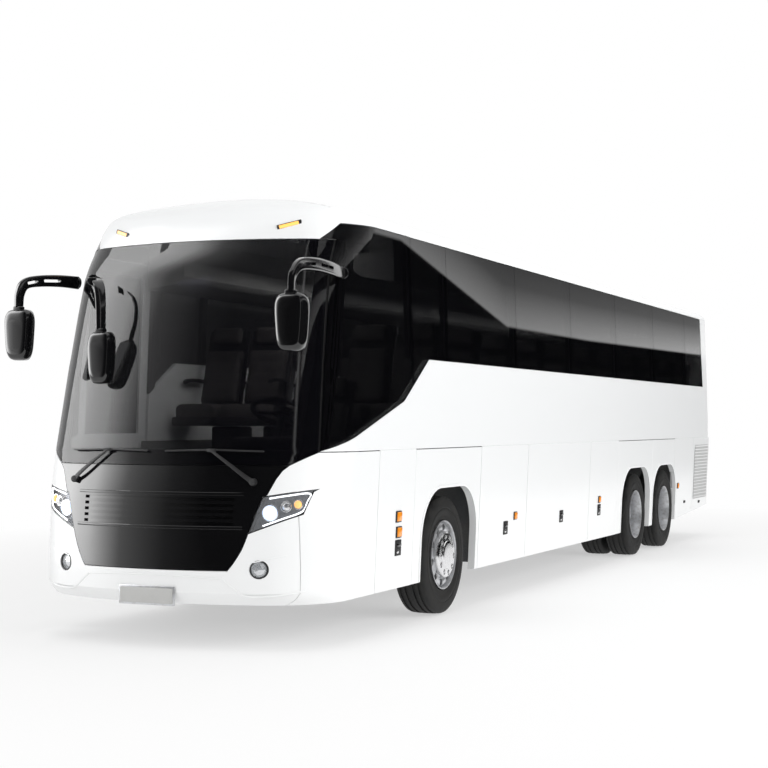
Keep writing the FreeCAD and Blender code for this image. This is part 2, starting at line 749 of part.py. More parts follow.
def tail_shell(inner):
    shell = tail_solid(0).cut(tail_solid(inner))
    flap_zone = block(TAIL_SEAM_X - FLAP_GAP / 2, NOSE_X, -BODY_WIDTH, BODY_WIDTH, 0, WAIST_Z + FLAP_GAP / 2)
    return trimmed(shell, flap_zone)


def tail_window_zone(grow=0):
    half = REAR_WINDOW_HALF + grow
    return block(TAIL_X - OVERRUN, BAND_TAIL_X, -half, half, REAR_WINDOW_LOW_Z - grow, REAR_WINDOW_HIGH_Z + grow)


def hatch_zone(grow=0):
    """The engine hatch's place, with twice the gap over its hinged top edge."""
    half = HATCH_HALF + grow
    return block(TAIL_X - OVERRUN, TAIL_X + OVERRUN * 2, -half, half, HATCH_LOW_Z - grow, HATCH_HIGH_Z + grow * 2)


def tail_lamp_zone():
    outer = TAIL_LAMP_INNER + TAIL_LAMP_WIDTH
    return block(TAIL_X - OVERRUN, TAIL_X + OVERRUN, TAIL_LAMP_INNER, outer, TAIL_LAMP_LOW_Z, TAIL_LAMP_HIGH_Z)


def bumper_zone():
    return block(TAIL_X - OVERRUN, NOSE_X, -BODY_WIDTH, BODY_WIDTH, 0, HATCH_LOW_Z - FLAP_GAP)


def rear_wall():
    wall = tail_shell(WALL).cut(bumper_zone())
    rebate = tail_window_zone(SEAM / 2).cut(tail_solid(PANE))
    for zone in [rebate, tail_window_zone(-REBATE), hatch_zone(FLAP_GAP)] + both_sides(tail_lamp_zone()):
        wall = wall.cut(zone)
    return wall


def rear_window():
    return tail_solid(0).cut(tail_solid(PANE)).common(tail_window_zone())


def rear_bumper():
    return tail_shell(WALL).common(bumper_zone())


def tail_lamps():
    lamp = tail_shell(WALL).common(tail_lamp_zone())
    return both_sides(lamp)


def engine_hatch():
    """The tail's large hatch, with its hinge barrel along the middle of the top edge."""
    hatch = tail_shell(FLAP).common(hatch_zone())
    z = HATCH_HIGH_Z + FLAP_GAP - FIT
    barrel = rod(at(TAIL_X + FLAP_GAP, -HATCH_BARREL_HALF, z), at(TAIL_X + FLAP_GAP, HATCH_BARREL_HALF, z), FLAP_GAP)
    return hatch.fuse(barrel).removeSplitter()


def engine_flap(side):
    """The rear side flap, with a louvred air inlet."""
    panel = flap(TAIL_SEAM_X, ENGINE_FLAP_FRONT_X)
    x0 = TAIL_SEAM_X + GRILLE_MARGIN
    x1 = ENGINE_FLAP_FRONT_X - GRILLE_MARGIN
    z0 = TAIL_SKIRT_Z + GRILLE_MARGIN
    z1 = WAIST_Z - GRILLE_MARGIN
    pitch = (z1 - z0) / GRILLE_SLATS
    skin = body_shell(0, GRILLE_DEPTH, TAIL_X, NOSE_BACK_X)
    for index in range(GRILLE_SLATS):
        low = z0 + pitch * index
        slot = block(x0, x1, 0, BODY_WIDTH, low, low + pitch - GRILLE_SLAT)
        panel = panel.cut(skin.common(slot))
    return panel if side > 0 else other_side(panel)


def side_skin(thickness, x0, x1, z0, z1):
    """A strip of the left side between two places and heights, on the straight side or on the nose."""
    shell = nose_shell(0, thickness) if x1 > NOSE_BACK_X else body_shell(0, thickness, TAIL_X, NOSE_BACK_X)
    return shell.common(block(x0, x1, 0, BODY_WIDTH, z0, z1))


def coach_door(x0, x1):
    """A passenger door: one leaf from skirt to window top, its window rebated for the glass, and its hinge."""
    door = trimmed(side_skin(FLAP, x0, x1, 0, DOOR_TOP_Z), screen_prism(SEAM))
    low = WAIST_Z + DOOR_FRAME
    high = DOOR_TOP_Z - DOOR_FRAME
    inner = block(
        x0 + DOOR_FRAME + REBATE, x1 - DOOR_FRAME - REBATE, 0, BODY_WIDTH, low + REBATE, high - REBATE)
    door = door.cut(inner).cut(door_pane(x0, x1))
    z = WAIST_Z - DOOR_HINGE_LENGTH / 2
    foot = at(x1 + DOOR_GAP - FIT - DOOR_HINGE_RADIUS, HALF_WIDTH - DOOR_HINGE_RADIUS, z)
    hinge = Part.makeCylinder(DOOR_HINGE_RADIUS, DOOR_HINGE_LENGTH, foot)
    return other_side(hinge.fuse(door))


def door_pane(x0, x1):
    return side_skin(PANE, x0 + DOOR_FRAME, x1 - DOOR_FRAME, WAIST_Z + DOOR_FRAME, DOOR_TOP_Z - DOOR_FRAME)


def door_glass(x0, x1):
    return other_side(door_pane(x0, x1))


def skirt_panels(side):
    front_edge = FRONT_PANEL_FRONT_X if side > 0 else DOOR_REAR_X - DOOR_GAP + SEAM / 2
    panels = [
        fixed_panel(FRONT_PANEL_REAR_X, front_edge, side),
        fixed_panel(ARCH_PILLAR_X, DRIVE_PANEL_FRONT_X, side),
        fixed_panel(TAG_PANEL_REAR_X, ARCH_PILLAR_X, side),
    ]
    if side < 0:
        panels.append(fixed_panel(DRIVE_PANEL_FRONT_X, MIDDLE_DOOR_REAR_X - DOOR_GAP + SEAM / 2, side))
        panels.append(fixed_panel(MIDDLE_DOOR_FRONT_X + DOOR_GAP - SEAM / 2, bay_seams()[2], side))
    return panels


@functools.cache
def jack_pads(x):
    """Plates under both rails that a jack or a stand bears on."""
    half = RAIL_WIDTH / 2
    return both_sides(block(x - half, x + half, RAIL_Y - RAIL_WIDTH, RAIL_Y, RAIL_LOW_Z - JACK_PAD, RAIL_LOW_Z))


def chassis_frame():
    """Two rails with cross-members, one frame ahead of the luggage bays and one behind."""
    frames = []
    front_end = FRONT_AXLE_X + CAB_FLOOR_FRONT
    spans = ((FRONT_PANEL_REAR_X - BULKHEAD, front_end), (TAIL_X + WALL, DRIVE_PANEL_FRONT_X + BULKHEAD))
    for x0, x1 in spans:
        frame = block(x0, x1, RAIL_Y - RAIL_WIDTH, RAIL_Y, RAIL_LOW_Z, RAIL_HIGH_Z)
        frame = frame.fuse(other_side(frame))
        count = math.ceil((x1 - x0) / CROSS_PITCH)
        step = (x1 - x0 - CROSS_LENGTH) / count
        for index in range(count + 1):
            x = x0 + step * index
            frame = frame.fuse(block(x, x + CROSS_LENGTH, -RAIL_Y, RAIL_Y, RAIL_HIGH_Z - RAIL_WIDTH, RAIL_HIGH_Z))
        frames.append(frame)
    frames[0] = frames[0].fuse([front_beam_bracket()] + jack_pads(JACK_FRONT_X)).removeSplitter()
    frames[1] = frames[1].cut(engine_block()).fuse(jack_pads(JACK_REAR_X)).removeSplitter()
    return frames


def floor_profile():
    lip = HALF_WIDTH - WALL - FLOOR
    return (
        (-HALF_WIDTH, FLOOR_Z - FLOOR), (HALF_WIDTH, FLOOR_Z - FLOOR), (HALF_WIDTH, FLOOR_Z + FLOOR_LIP),
        (lip, FLOOR_Z + FLOOR_LIP), (lip, FLOOR_Z), (-lip, FLOOR_Z), (-lip, FLOOR_Z + FLOOR_LIP),
        (-HALF_WIDTH, FLOOR_Z + FLOOR_LIP),
    )


def stair_zone(x0, x1):
    return block(x0, x1, -BODY_WIDTH, -HALF_WIDTH + STAIR_DEPTH, 0, BODY_HEIGHT)


def saloon_floor():
    """The saloon's floor with upturned edges against the side walls, the cab's platform and both stairs."""
    floor = along_x(floor_profile(), TAIL_X + WALL, STEP_X)
    rear = floor.common(tail_solid(WALL))
    front = floor.common(nose_solid(WALL)).common(block(NOSE_BACK_X, STEP_X, -BODY_WIDTH, BODY_WIDTH, 0, BODY_HEIGHT))
    floor = floor.common(body_solid(WALL, BAND_TAIL_X, NOSE_BACK_X)).fuse([front, rear])
    floor = floor.cut(stair_zone(MIDDLE_DOOR_REAR_X, MIDDLE_DOOR_FRONT_X))
    cab_stairs = stairs(DOOR_REAR_X, DOOR_FRONT_X, CAB_FLOOR_Z)
    saloon_stairs = stairs(MIDDLE_DOOR_REAR_X, MIDDLE_DOOR_FRONT_X, FLOOR_Z)
    return floor.fuse([cab_floor(), cab_stairs, saloon_stairs]).removeSplitter()


def cab_floor():
    """The driver's platform, beside the front stairs."""
    x1 = FRONT_AXLE_X + CAB_FLOOR_FRONT
    slab = block(STEP_X, x1, -HALF_WIDTH + STAIR_DEPTH, HALF_WIDTH - WALL * 2, RAIL_HIGH_Z, CAB_FLOOR_Z)
    riser = block(STEP_X, STEP_X + BULKHEAD, -HALF_WIDTH + STAIR_DEPTH, HALF_WIDTH - WALL * 2, CAB_FLOOR_Z, FLOOR_Z)
    return slab.common(nose_solid(WALL)).fuse(riser).removeSplitter()


def stairs(x0, x1, top_z):
    """Steps that rise inward from a doorway to a floor, the last riser as high as the floor."""
    rise = (top_z - BAY_FLOOR_Z) / (STEP_COUNT + 1)
    tread = STAIR_DEPTH / (STEP_COUNT + 1)
    outer = -HALF_WIDTH + SKIRT_TUCK + WALL
    inner = -HALF_WIDTH + STAIR_DEPTH
    low = BAY_FLOOR_Z - BAY_FLOOR
    points = [(outer, low), (outer, BAY_FLOOR_Z)]
    for index in range(1, STEP_COUNT + 1):
        points.append((outer + tread * index, BAY_FLOOR_Z + rise * (index - 1)))
        points.append((outer + tread * index, BAY_FLOOR_Z + rise * index))
    points += [(inner - BULKHEAD, BAY_FLOOR_Z + rise * STEP_COUNT), (inner - BULKHEAD, top_z), (inner, top_z)]
    return along_x(points + [(inner, low)], x0, x1)


def bay_half():
    """Half the luggage bays' width, inside the skirts at the floor's underside."""
    return side_y(BAY_FLOOR_Z - BAY_FLOOR) - WALL


def luggage_floor():
    """The luggage bays' floor, up to the middle stairs."""
    half = bay_half()
    bay = block(DRIVE_PANEL_FRONT_X, FRONT_PANEL_REAR_X, -half, half, BAY_FLOOR_Z - BAY_FLOOR, BAY_FLOOR_Z)
    return bay.cut(stair_zone(MIDDLE_DOOR_REAR_X, MIDDLE_DOOR_FRONT_X))


def stair_cheeks():
    """Walls between the middle stairs and the luggage bays."""
    half = bay_half()
    cheeks = []
    for x0 in (MIDDLE_DOOR_REAR_X - BULKHEAD, MIDDLE_DOOR_FRONT_X):
        cheeks.append(block(x0, x0 + BULKHEAD, -half, -HALF_WIDTH + STAIR_DEPTH, BAY_FLOOR_Z, FLOOR_Z - FLOOR))
    return cheeks


def bulkhead(x0):
    half = bay_half()
    return block(x0, x0 + BULKHEAD, -half, half, BAY_FLOOR_Z - BAY_FLOOR, FLOOR_Z - FLOOR)


def luggage_bay():
    """The luggage floor with the cross walls at its ends and beside the stairs, and those round the wheels."""
    frames = chassis_frame()
    places = (
        FRONT_PANEL_FRONT_X + FLAP_GAP, FRONT_PANEL_REAR_X - BULKHEAD, DRIVE_PANEL_FRONT_X,
        TAG_ARCH_X - TAG_ARCH_HALF - BULKHEAD,
    )
    bay = luggage_floor().fuse([bulkhead(x0) for x0 in places] + stair_cheeks())
    for frame in frames:
        bay = bay.cut(frame)
    return bay.removeSplitter()


def front_beam():
    """The front axle: a beam dropped between the wheels, with an eye for each kingpin."""
    z = TYRE_RADIUS
    eye = BEAM_HEIGHT / 2
    knee = KINGPIN_Y - KINGPIN_EYE * 2
    low = knee - BEAM_DROP * 2
    half = BEAM_WIDTH / 2
    beam = along_x((
        (-KINGPIN_Y, z - eye), (-knee, z - eye), (-low, z - eye - BEAM_DROP), (low, z - eye - BEAM_DROP), (knee, z - eye),
        (KINGPIN_Y, z - eye), (KINGPIN_Y, z + eye), (knee, z + eye), (low, z + eye - BEAM_DROP),
        (-low, z + eye - BEAM_DROP), (-knee, z + eye), (-KINGPIN_Y, z + eye),
    ), FRONT_AXLE_X - half, FRONT_AXLE_X + half)
    for y in (KINGPIN_Y, -KINGPIN_Y):
        foot = at(FRONT_AXLE_X, y, z - eye)
        beam = beam.fuse(Part.makeCylinder(KINGPIN_EYE, BEAM_HEIGHT, foot))
        beam = beam.cut(Part.makeCylinder(KINGPIN_RADIUS + STUB_CLEARANCE, BEAM_HEIGHT, foot))
    return beam.removeSplitter()


def knuckle(side):
    """The steering knuckle: two lugs on the kingpin, a web and the wheel's stub."""
    z = TYRE_RADIUS
    lug_low = BEAM_HEIGHT / 2 + FLAP_GAP
    lug_high = lug_low + BEAM_HEIGHT / 3
    web_y = KINGPIN_Y + KINGPIN_EYE + FLAP_GAP
    half = KINGPIN_EYE
    x0 = FRONT_AXLE_X - half
    x1 = FRONT_AXLE_X + half
    body = block(x0, x1, web_y, web_y + KNUCKLE_WEB, z - lug_high, z + lug_high)
    for low in (z + lug_low, z - lug_high):
        body = body.fuse(block(x0, x1, KINGPIN_Y - half, web_y, low, low + lug_high - lug_low))
    pin = Part.makeCylinder(KINGPIN_RADIUS, lug_high * 2, at(FRONT_AXLE_X, KINGPIN_Y, z - lug_high))
    stub = rod(at(FRONT_AXLE_X, web_y, z), at(FRONT_AXLE_X, WHEEL_Y + STUB_END - HUB_END, z), STUB_RADIUS)
    body = body.fuse(pin).fuse(stub).removeSplitter()
    return body if side > 0 else other_side(body)


def revolved(points, x, y, side):
    """A ring from its half section in radius and outward offset, on a wheel's axis."""
    ring = face_of(points, lambda radius, out: at(radius, out, 0))
    ring = ring.revolve(at(0, 0, 0), at(0, 1, 0), 360)
    ring.translate(at(x, y, TYRE_RADIUS))
    return ring if side > 0 else other_side(ring)


def tyre(x, y, side):
    half = TYRE_WIDTH / 2
    return revolved(((RIM_RADIUS, -half), (TYRE_RADIUS, -half), (TYRE_RADIUS, half), (RIM_RADIUS, half)), x, y, side)


def front_rim(x, side):
    """A steel front wheel: disc near the outer lip, ring of hand holes and a hub that stands out."""
    inner = RIM_RADIUS - RIM_WALL
    back = DISC_SEAT - DISC_WALL
    points = (
        (RIM_RADIUS, -RIM_REACH), (RIM_RADIUS, RIM_REACH), (inner, RIM_REACH), (inner, DISC_SEAT),
        (COVER_RADIUS, DISC_SEAT), (COVER_RADIUS, COVER_FACE), (CAP_RADIUS, COVER_FACE), (CAP_RADIUS, CAP_FACE), (0, CAP_FACE),
        (0, back), (inner, back), (inner, -RIM_REACH),
    )
    rim = revolved(points, x, WHEEL_Y, 1)
    holes = []
    for index in range(HAND_HOLES):
        angle = 2 * math.pi * index / HAND_HOLES
        foot = at(
            x + HAND_HOLE_CIRCLE * math.cos(angle), WHEEL_Y, TYRE_RADIUS + HAND_HOLE_CIRCLE * math.sin(angle))
        holes.append(Part.makeCylinder(HAND_HOLE_RADIUS, RIM_REACH, foot, at(0, 1, 0)))
    stub = Part.makeCylinder(STUB_RADIUS + STUB_CLEARANCE, STUB_END, at(x, WHEEL_Y, TYRE_RADIUS), at(0, 1, 0))
    rim = rim.cut(holes + [stub])
    return rim if side > 0 else other_side(rim)


def rear_rim(x, side, inner_end):
    """A deep-dished rear wheel: the disc far in, the hub standing out through it."""
    inner = RIM_RADIUS - RIM_WALL
    bore = STUB_RADIUS + STUB_CLEARANCE
    points = (
        (RIM_RADIUS, -inner_end), (RIM_RADIUS, RIM_REACH), (inner, RIM_REACH), (inner, DISC_WALL - DISH_DEPTH),
        (HUB_RADIUS, DISC_WALL - DISH_DEPTH), (HUB_RADIUS, HUB_STAND), (0, HUB_STAND), (0, REAR_STUB_END),
        (bore, REAR_STUB_END), (bore, -DISH_DEPTH), (inner, -DISH_DEPTH), (inner, -inner_end),
    )
    return revolved(points, x, WHEEL_Y, side)


def axle_ends(x):
    """The stubs that the wheels turn on."""
    end_y = WHEEL_Y + REAR_STUB_END - HUB_END
    return rod(at(x, -end_y, TYRE_RADIUS), at(x, end_y, TYRE_RADIUS), STUB_RADIUS)


def drive_axle():
    """The driven axle: tube, final drive housing, spring pads and the stubs that the twin wheels turn on."""
    end_y = WHEEL_Y - DISH_DEPTH - FLAP_GAP
    axle = rod(at(DRIVE_X, -end_y, TYRE_RADIUS), at(DRIVE_X, end_y, TYRE_RADIUS), TUBE_RADIUS)
    half = DIFFERENTIAL_LENGTH / 2
    housing = rod(at(DRIVE_X - half, 0, TYRE_RADIUS), at(DRIVE_X + half, 0, TYRE_RADIUS), DIFFERENTIAL_RADIUS)
    axle = axle.fuse([housing, axle_ends(DRIVE_X)])
    for y in (RAIL_MID_Y, -RAIL_MID_Y):
        pad = block(
            DRIVE_X - TUBE_RADIUS, DRIVE_X + TUBE_RADIUS, y - TUBE_RADIUS, y + TUBE_RADIUS,
            TYRE_RADIUS, TYRE_RADIUS + TUBE_RADIUS + BELLOWS_PAD)
        axle = axle.fuse(pad)
    return axle.removeSplitter()


def tag_axle():
    """The trailing axle: a square beam with a stub at each end."""
    end_y = WHEEL_Y - DISH_DEPTH - FLAP_GAP
    half = TAG_BEAM / 2
    axle = block(TAG_X - half, TAG_X + half, -end_y, end_y, TYRE_RADIUS - half, TYRE_RADIUS + half)
    return axle.fuse(axle_ends(TAG_X)).removeSplitter()


def air_bellows():
    """Air springs between each axle and the rails."""
    seats = (
        (FRONT_AXLE_X, TYRE_RADIUS + BEAM_HEIGHT / 2 - BEAM_DROP),
        (DRIVE_X, TYRE_RADIUS + TUBE_RADIUS + BELLOWS_PAD),
        (TAG_X, TYRE_RADIUS + TAG_BEAM / 2),
    )
    springs = []
    for x, low in seats:
        springs += both_sides(rod(at(x, RAIL_MID_Y, low), at(x, RAIL_MID_Y, RAIL_LOW_Z), BELLOWS_RADIUS))
    return springs


def engine_block():
    """The engine in plain form, hung between the rails at the tail."""
    x0 = TAIL_X + ENGINE_BACK
    half = RAIL_Y - RAIL_WIDTH
    return block(x0, x0 + ENGINE_LENGTH, -half, half, ENGINE_LOW_Z, ENGINE_LOW_Z + ENGINE_HEIGHT)


def seat_side(x, z):
    """A seat from the side: foot, cushion and raked back with its headrest."""
    top = z + SEAT_BACK_HEIGHT
    low = z + SEAT_FOOT_HEIGHT
    cushion = z + SEAT_CUSHION_HEIGHT
    nose_x = x + SEAT_BACK_THICK + SEAT_CUSHION_LENGTH
    crown = SEAT_BACK_THICK / 2
    top_x = x - SEAT_BACK_RAKE
    return (
        (x, low), (nose_x - crown, low), (nose_x, low + crown), (nose_x, cushion - crown),
        (nose_x - crown, cushion), (x + SEAT_BACK_THICK, cushion),
        (top_x + SEAT_BACK_THICK, top - crown), (top_x, top - crown, top_x + crown, top),
    )


def seat(x, y0, y1, z):
    back = along_y(seat_side(x, z), y0, y1)
    mid_y = (y0 + y1) / 2
    foot = block(
        x + SEAT_BACK_THICK, x + SEAT_BACK_THICK + SEAT_FOOT_LENGTH, mid_y - SEAT_FOOT_WIDTH / 2,
        mid_y + SEAT_FOOT_WIDTH / 2, z, z + SEAT_FOOT_HEIGHT)
    return back.fuse(foot).removeSplitter()


def seats():
    """Rows of paired seats on both sides of the aisle, less the row at the middle door, and the driver's seat."""
    rows = []
    for index in range(SEAT_ROWS):
        x = FRONT_AXLE_X - SEAT_FIRST_BACK - SEAT_PITCH * index
        rows.append(seat(x, SEAT_OUTER_Y - SEAT_PAIR_WIDTH, SEAT_OUTER_Y, FLOOR_Z))
        stairs_clear = x > MIDDLE_DOOR_FRONT_X or x + SEAT_BACK_THICK + SEAT_CUSHION_LENGTH < MIDDLE_DOOR_REAR_X
        if stairs_clear:
            rows.append(seat(x, -SEAT_OUTER_Y, -SEAT_OUTER_Y + SEAT_PAIR_WIDTH, FLOOR_Z))
    half = SEAT_PAIR_WIDTH / 4
    driver_x = FRONT_AXLE_X + DRIVER_BACK
    rows.append(seat(driver_x, DRIVER_Y - half, DRIVER_Y + half, CAB_FLOOR_Z))
    return rows


def racks():
    """Overhead racks along both sides, under the roof's edge."""
    inner = HALF_WIDTH - WALL - RACK_DEPTH
    profile = (
        (inner, RACK_LOW_Z + RACK_EDGE), (inner + RACK_EDGE, RACK_LOW_Z), (HALF_WIDTH, RACK_LOW_Z - RACK_EDGE),
        (HALF_WIDTH, BODY_HEIGHT), (inner + RACK_DEPTH / 3, BODY_HEIGHT), (inner + RACK_DEPTH / 3, RACK_HIGH_Z),
        (inner, RACK_HIGH_Z),
    )
    rack = along_x(profile, BAND_TAIL_X + WALL, STEP_X).common(body_solid(WALL, TAIL_X, NOSE_X))
    return [rack, other_side(rack)]


def dashboard():
    """The dashboard, fitted to the inside of the nose, with the steering column and its wheel."""
    x0 = FRONT_AXLE_X + DASH_BACK
    zone = block(x0, NOSE_X, -BODY_WIDTH, BODY_WIDTH, DASH_LOW_Z, DASH_HIGH_Z)
    dash = nose_solid(WALL).common(zone).cut(front_door_zone(FLAP_GAP))
    centre = at(FRONT_AXLE_X + STEERING_LEAD, DRIVER_Y, CAB_FLOOR_Z + STEERING_HEIGHT)
    tilt = math.radians(STEERING_TILT)
    axis = at(-math.sin(tilt), 0, math.cos(tilt))
    ring = Part.makeCylinder(STEERING_RADIUS + STEERING_TUBE, STEERING_TUBE, centre, axis)
    ring = ring.cut(Part.makeCylinder(STEERING_RADIUS - STEERING_TUBE, STEERING_TUBE, centre, axis))
    reach = (centre.z - DASH_HIGH_Z + STEERING_TUBE) / math.cos(tilt)
    column = rod(centre, centre - axis * reach, STEERING_TUBE * 2)
    spoke = block(
        centre.x - STEERING_TUBE, centre.x + STEERING_TUBE, centre.y - STEERING_RADIUS, centre.y + STEERING_RADIUS,
        centre.z, centre.z + STEERING_TUBE)
    spoke.rotate(centre, at(0, 1, 0), -STEERING_TILT)
    return dash.fuse([column, ring, spoke]).removeSplitter()


def front_beam_bracket():
    """The cross-member behind the front fascia."""
    zone = block(
        FRONT_AXLE_X + CAB_FLOOR_FRONT, NOSE_X, -MASK_SHOULDER[0], MASK_SHOULDER[0], FOG_Z - FOG_RADIUS, RAIL_HIGH_Z)
    return nose_solid(WALL).common(zone)


def rake_share_at(z):
    """How far the nose stands back at a height."""
    share = z / BODY_HEIGHT
    index = max(i for i, pair in enumerate(NOSE_SHARES) if pair[0] <= share)
    (low, near), (high, far) = NOSE_SHARES[index], NOSE_SHARES[index + 1]
    return near + (far - near) * (share - low) / (high - low)


def on_crown(y, z, stand):
    """A point over the nose's crown, a stand-off away in plan."""
    crown_x, corner_x, side = nose_plan(z / BODY_HEIGHT, rake_share_at(z))
    return at(crown_x + math.sqrt((CROWN_RADIUS + stand) ** 2 - y ** 2), y, z)


def on_corner(x, z, stand):
    """A point over the nose's left corner, a stand-off away in plan."""
    crown_x, corner_x, side = nose_plan(z / BODY_HEIGHT, rake_share_at(z))
    return at(x, side - CORNER_RADIUS + math.sqrt((CORNER_RADIUS + stand) ** 2 - (x - corner_x) ** 2), z)


def wiper(side):
    """A wiper parked along the foot of the windscreen: pivot, arm and a blade that follows the glass."""
    inner_y = side * WIPER_PART
    outer_y = side * (WIPER_PART + WIPER_BLADE)
    mid_y = (inner_y + outer_y) / 2
    near, far = WIPER_STAND, WIPER_STAND + WIPER_TUBE

    def spot(y, stand):
        place = on_crown(y, WIPER_Z, stand)
        return place.x, place.y

    points = (
        spot(inner_y, near) + spot(mid_y, near), spot(inner_y, far), spot(outer_y, far) + spot(mid_y, far),
        spot(outer_y, near),
    )
    blade = along_z(points, WIPER_Z, WIPER_Z + WIPER_TUBE)
    elbow = on_crown(side * WIPER_PIVOT_HALF, WIPER_PIVOT_Z, far)
    arm_rod = rod(elbow, on_crown(mid_y, WIPER_Z + WIPER_TUBE / 2, far), WIPER_TUBE / 3)
    foot = on_crown(side * WIPER_PIVOT_HALF, WIPER_PIVOT_Z, -WIPER_TUBE)
    pivot = rod(foot, elbow + at(WIPER_TUBE / 2, 0, 0), WIPER_TUBE / 2)
    pivot = pivot.cut(nose_solid(0))
    return blade.fuse([arm_rod, pivot]).removeSplitter()


def wipers():
    return [wiper(1), wiper(-1)]


def mirror_head(x, y, low, width):
    """A mirror's housing, its face at x and to the rear."""
    half = width / 2
    return block(x, x + MIRROR_HEAD_DEPTH, y - half, y + half, low, low + MIRROR_HEAD_HEIGHT)


def arm(points):
    """A mirror arm along a few points, its foot trimmed to the nose's skin."""
    tube = rod(points[0], points[1], MIRROR_TUBE)
    for start, end in zip(points[1:], points[2:]):
        tube = tube.fuse([rod(start, end, MIRROR_TUBE), Part.makeSphere(MIRROR_TUBE + FIT, start)])
    tube = tube.cut(nose_solid(0))
    return max(tube.Solids, key=lambda solid: solid.Volume)


def side_mirror(base_x, head_x, bend_x):
    """A mirror beside the nose on an arm from the window's upper front corner."""
    head_y = MIRROR_SIDE_Y - MIRROR_HEAD_WIDTH / 2
    mid_x = head_x + MIRROR_HEAD_DEPTH / 2
    low = MIRROR_HEAD_Z - MIRROR_HEAD_HEIGHT / 2
    points = [
        on_corner(base_x, MIRROR_MOUNT_Z, -MIRROR_TUBE * 2), on_corner(base_x, MIRROR_MOUNT_Z, MIRROR_TUBE * 3),
        at(bend_x, head_y, MIRROR_BEND_Z + MIRROR_TUBE * 2), at(mid_x, head_y, MIRROR_BEND_Z),
        at(mid_x, head_y, low + MIRROR_HEAD_HEIGHT - MIRROR_TUBE),
    ]
    return arm(points).fuse(mirror_head(head_x, head_y, low, MIRROR_HEAD_WIDTH)).removeSplitter()


def kerb_mirror():
    """The kerb side's look-down mirror, ahead of the windscreen."""
    head = at(FRONT_AXLE_X + KERB_HEAD, -KERB_Y, KERB_LOW_Z)
    mid_x = head.x + MIRROR_HEAD_DEPTH / 2
    high = on_corner(FRONT_AXLE_X + KERB_BASE, MIRROR_MOUNT_Z, 0)
    points = [
        at(high.x, -high.y + MIRROR_TUBE, high.z), at(high.x + MIRROR_TUBE * 4, -high.y, high.z),
        at(mid_x, -KERB_Y, KERB_BEND_Z), at(mid_x, -KERB_Y, head.z + MIRROR_HEAD_HEIGHT - MIRROR_TUBE),
    ]
    return arm(points).fuse(mirror_head(head.x, head.y, head.z, KERB_WIDTH)).removeSplitter()


def mirrors():
    """The driver's mirror on its long forward arm, and the kerb side's pair of mirrors."""
    left_head = NOSE_X + MIRROR_LEAD - MIRROR_HEAD_DEPTH
    left = side_mirror(FRONT_AXLE_X + MIRROR_LEFT_BASE, left_head, left_head)
    right_head = FRONT_AXLE_X + MIRROR_RIGHT_HEAD
    right = other_side(side_mirror(FRONT_AXLE_X + MIRROR_RIGHT_BASE, right_head, right_head))
    return [left, right, kerb_mirror()]


SUBPARTS = {}


def add(name, *shapes):
    solids = []
    for shape in shapes:
        solids += shape.Solids
    SUBPARTS[name] = Part.makeCompound(solids)


def add_front():
    add("windscreen", windscreen())
    add("front_mask", front_mask())
    add("front_fascia", front_fascia())
    add("front_corners", front_corner(1), front_corner(-1))
    add("front_lamps", *front_lamps())
    add("front_cap", front_cap())
    add("wipers", *wipers())
    add("mirrors", *mirrors())


def add_sides():
    for name, side in (("left", 1), ("right", -1)):
        add("rear_locker_" + name, flap(ENGINE_FLAP_FRONT_X, TAG_PANEL_REAR_X, side))
        add("engine_flap_" + name, engine_flap(side))
    add("side_walls", side_wall(1), side_wall(-1))
    add("side_windows", *side_windows(1), *side_windows(-1))
    add("skirt_panels", *skirt_panels(1), *skirt_panels(-1))
    add("window_pillars", *window_pillars())
    seams = bay_seams()
    for index in range(len(seams) - 1):
        add("luggage_flap_left_" + str(index + 1), flap(seams[index + 1], seams[index]))
        if seams[index + 1] > MIDDLE_DOOR_FRONT_X:
            add("luggage_flap_right_" + str(index + 1), flap(seams[index + 1], seams[index], -1))
    add("locker_flap_left", flap(FRONT_PANEL_FRONT_X, LOCKER_FRONT_X))


def add_doors():
    doors = (("front", DOOR_REAR_X, DOOR_FRONT_X), ("middle", MIDDLE_DOOR_REAR_X, MIDDLE_DOOR_FRONT_X))
    for name, x0, x1 in doors:
        add(name + "_door", coach_door(x0, x1))
        add(name + "_door_glass", door_glass(x0, x1))


def add_tail_and_roof():
    add("roof", roof())
    for name, x in zip(("front", "rear"), roof_hatch_places()):
        add("roof_hatch_" + name, roof_hatch(x))
    add("rear_wall", rear_wall())
    add("rear_window", rear_window())
    add("rear_bumper", rear_bumper())
    add("tail_lamps", *tail_lamps())
    add("engine_hatch", engine_hatch())


def add_inside():
    add("saloon_floor", saloon_floor())
    add("luggage_bay", luggage_bay())
    add("seats", *seats())
    add("overhead_racks", *racks())
    add("dashboard", dashboard())


def add_running_gear():
    frames = chassis_frame()
    add("chassis_frame", *frames)
    add("engine", engine_block())
    add("front_axle", front_beam())
    add("drive_axle", drive_axle())
    add("tag_axle", tag_axle())
    add("air_bellows", *air_bellows())
    for name, side in (("left", 1), ("right", -1)):
        twin_y = WHEEL_Y - TWIN_PITCH
        add("knuckle_" + name, knuckle(side))
        add("front_rim_" + name, front_rim(FRONT_AXLE_X, side))
        add("front_tyre_" + name, tyre(FRONT_AXLE_X, WHEEL_Y, side))
        add("drive_rims_" + name, rear_rim(DRIVE_X, side, TWIN_PITCH + RIM_REACH))
        add("drive_tyres_" + name, tyre(DRIVE_X, WHEEL_Y, side), tyre(DRIVE_X, twin_y, side))
        add("tag_rim_" + name, rear_rim(TAG_X, side, RIM_REACH))
        add("tag_tyre_" + name, tyre(TAG_X, WHEEL_Y, side))


add_front()
add_sides()
add_doors()
add_tail_and_roof()
add_inside()
add_running_gear()

os.makedirs("parts", exist_ok=True)
for name, shape in SUBPARTS.items():
    shape.exportStep(os.path.join("parts", name + ".step"))
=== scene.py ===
import math

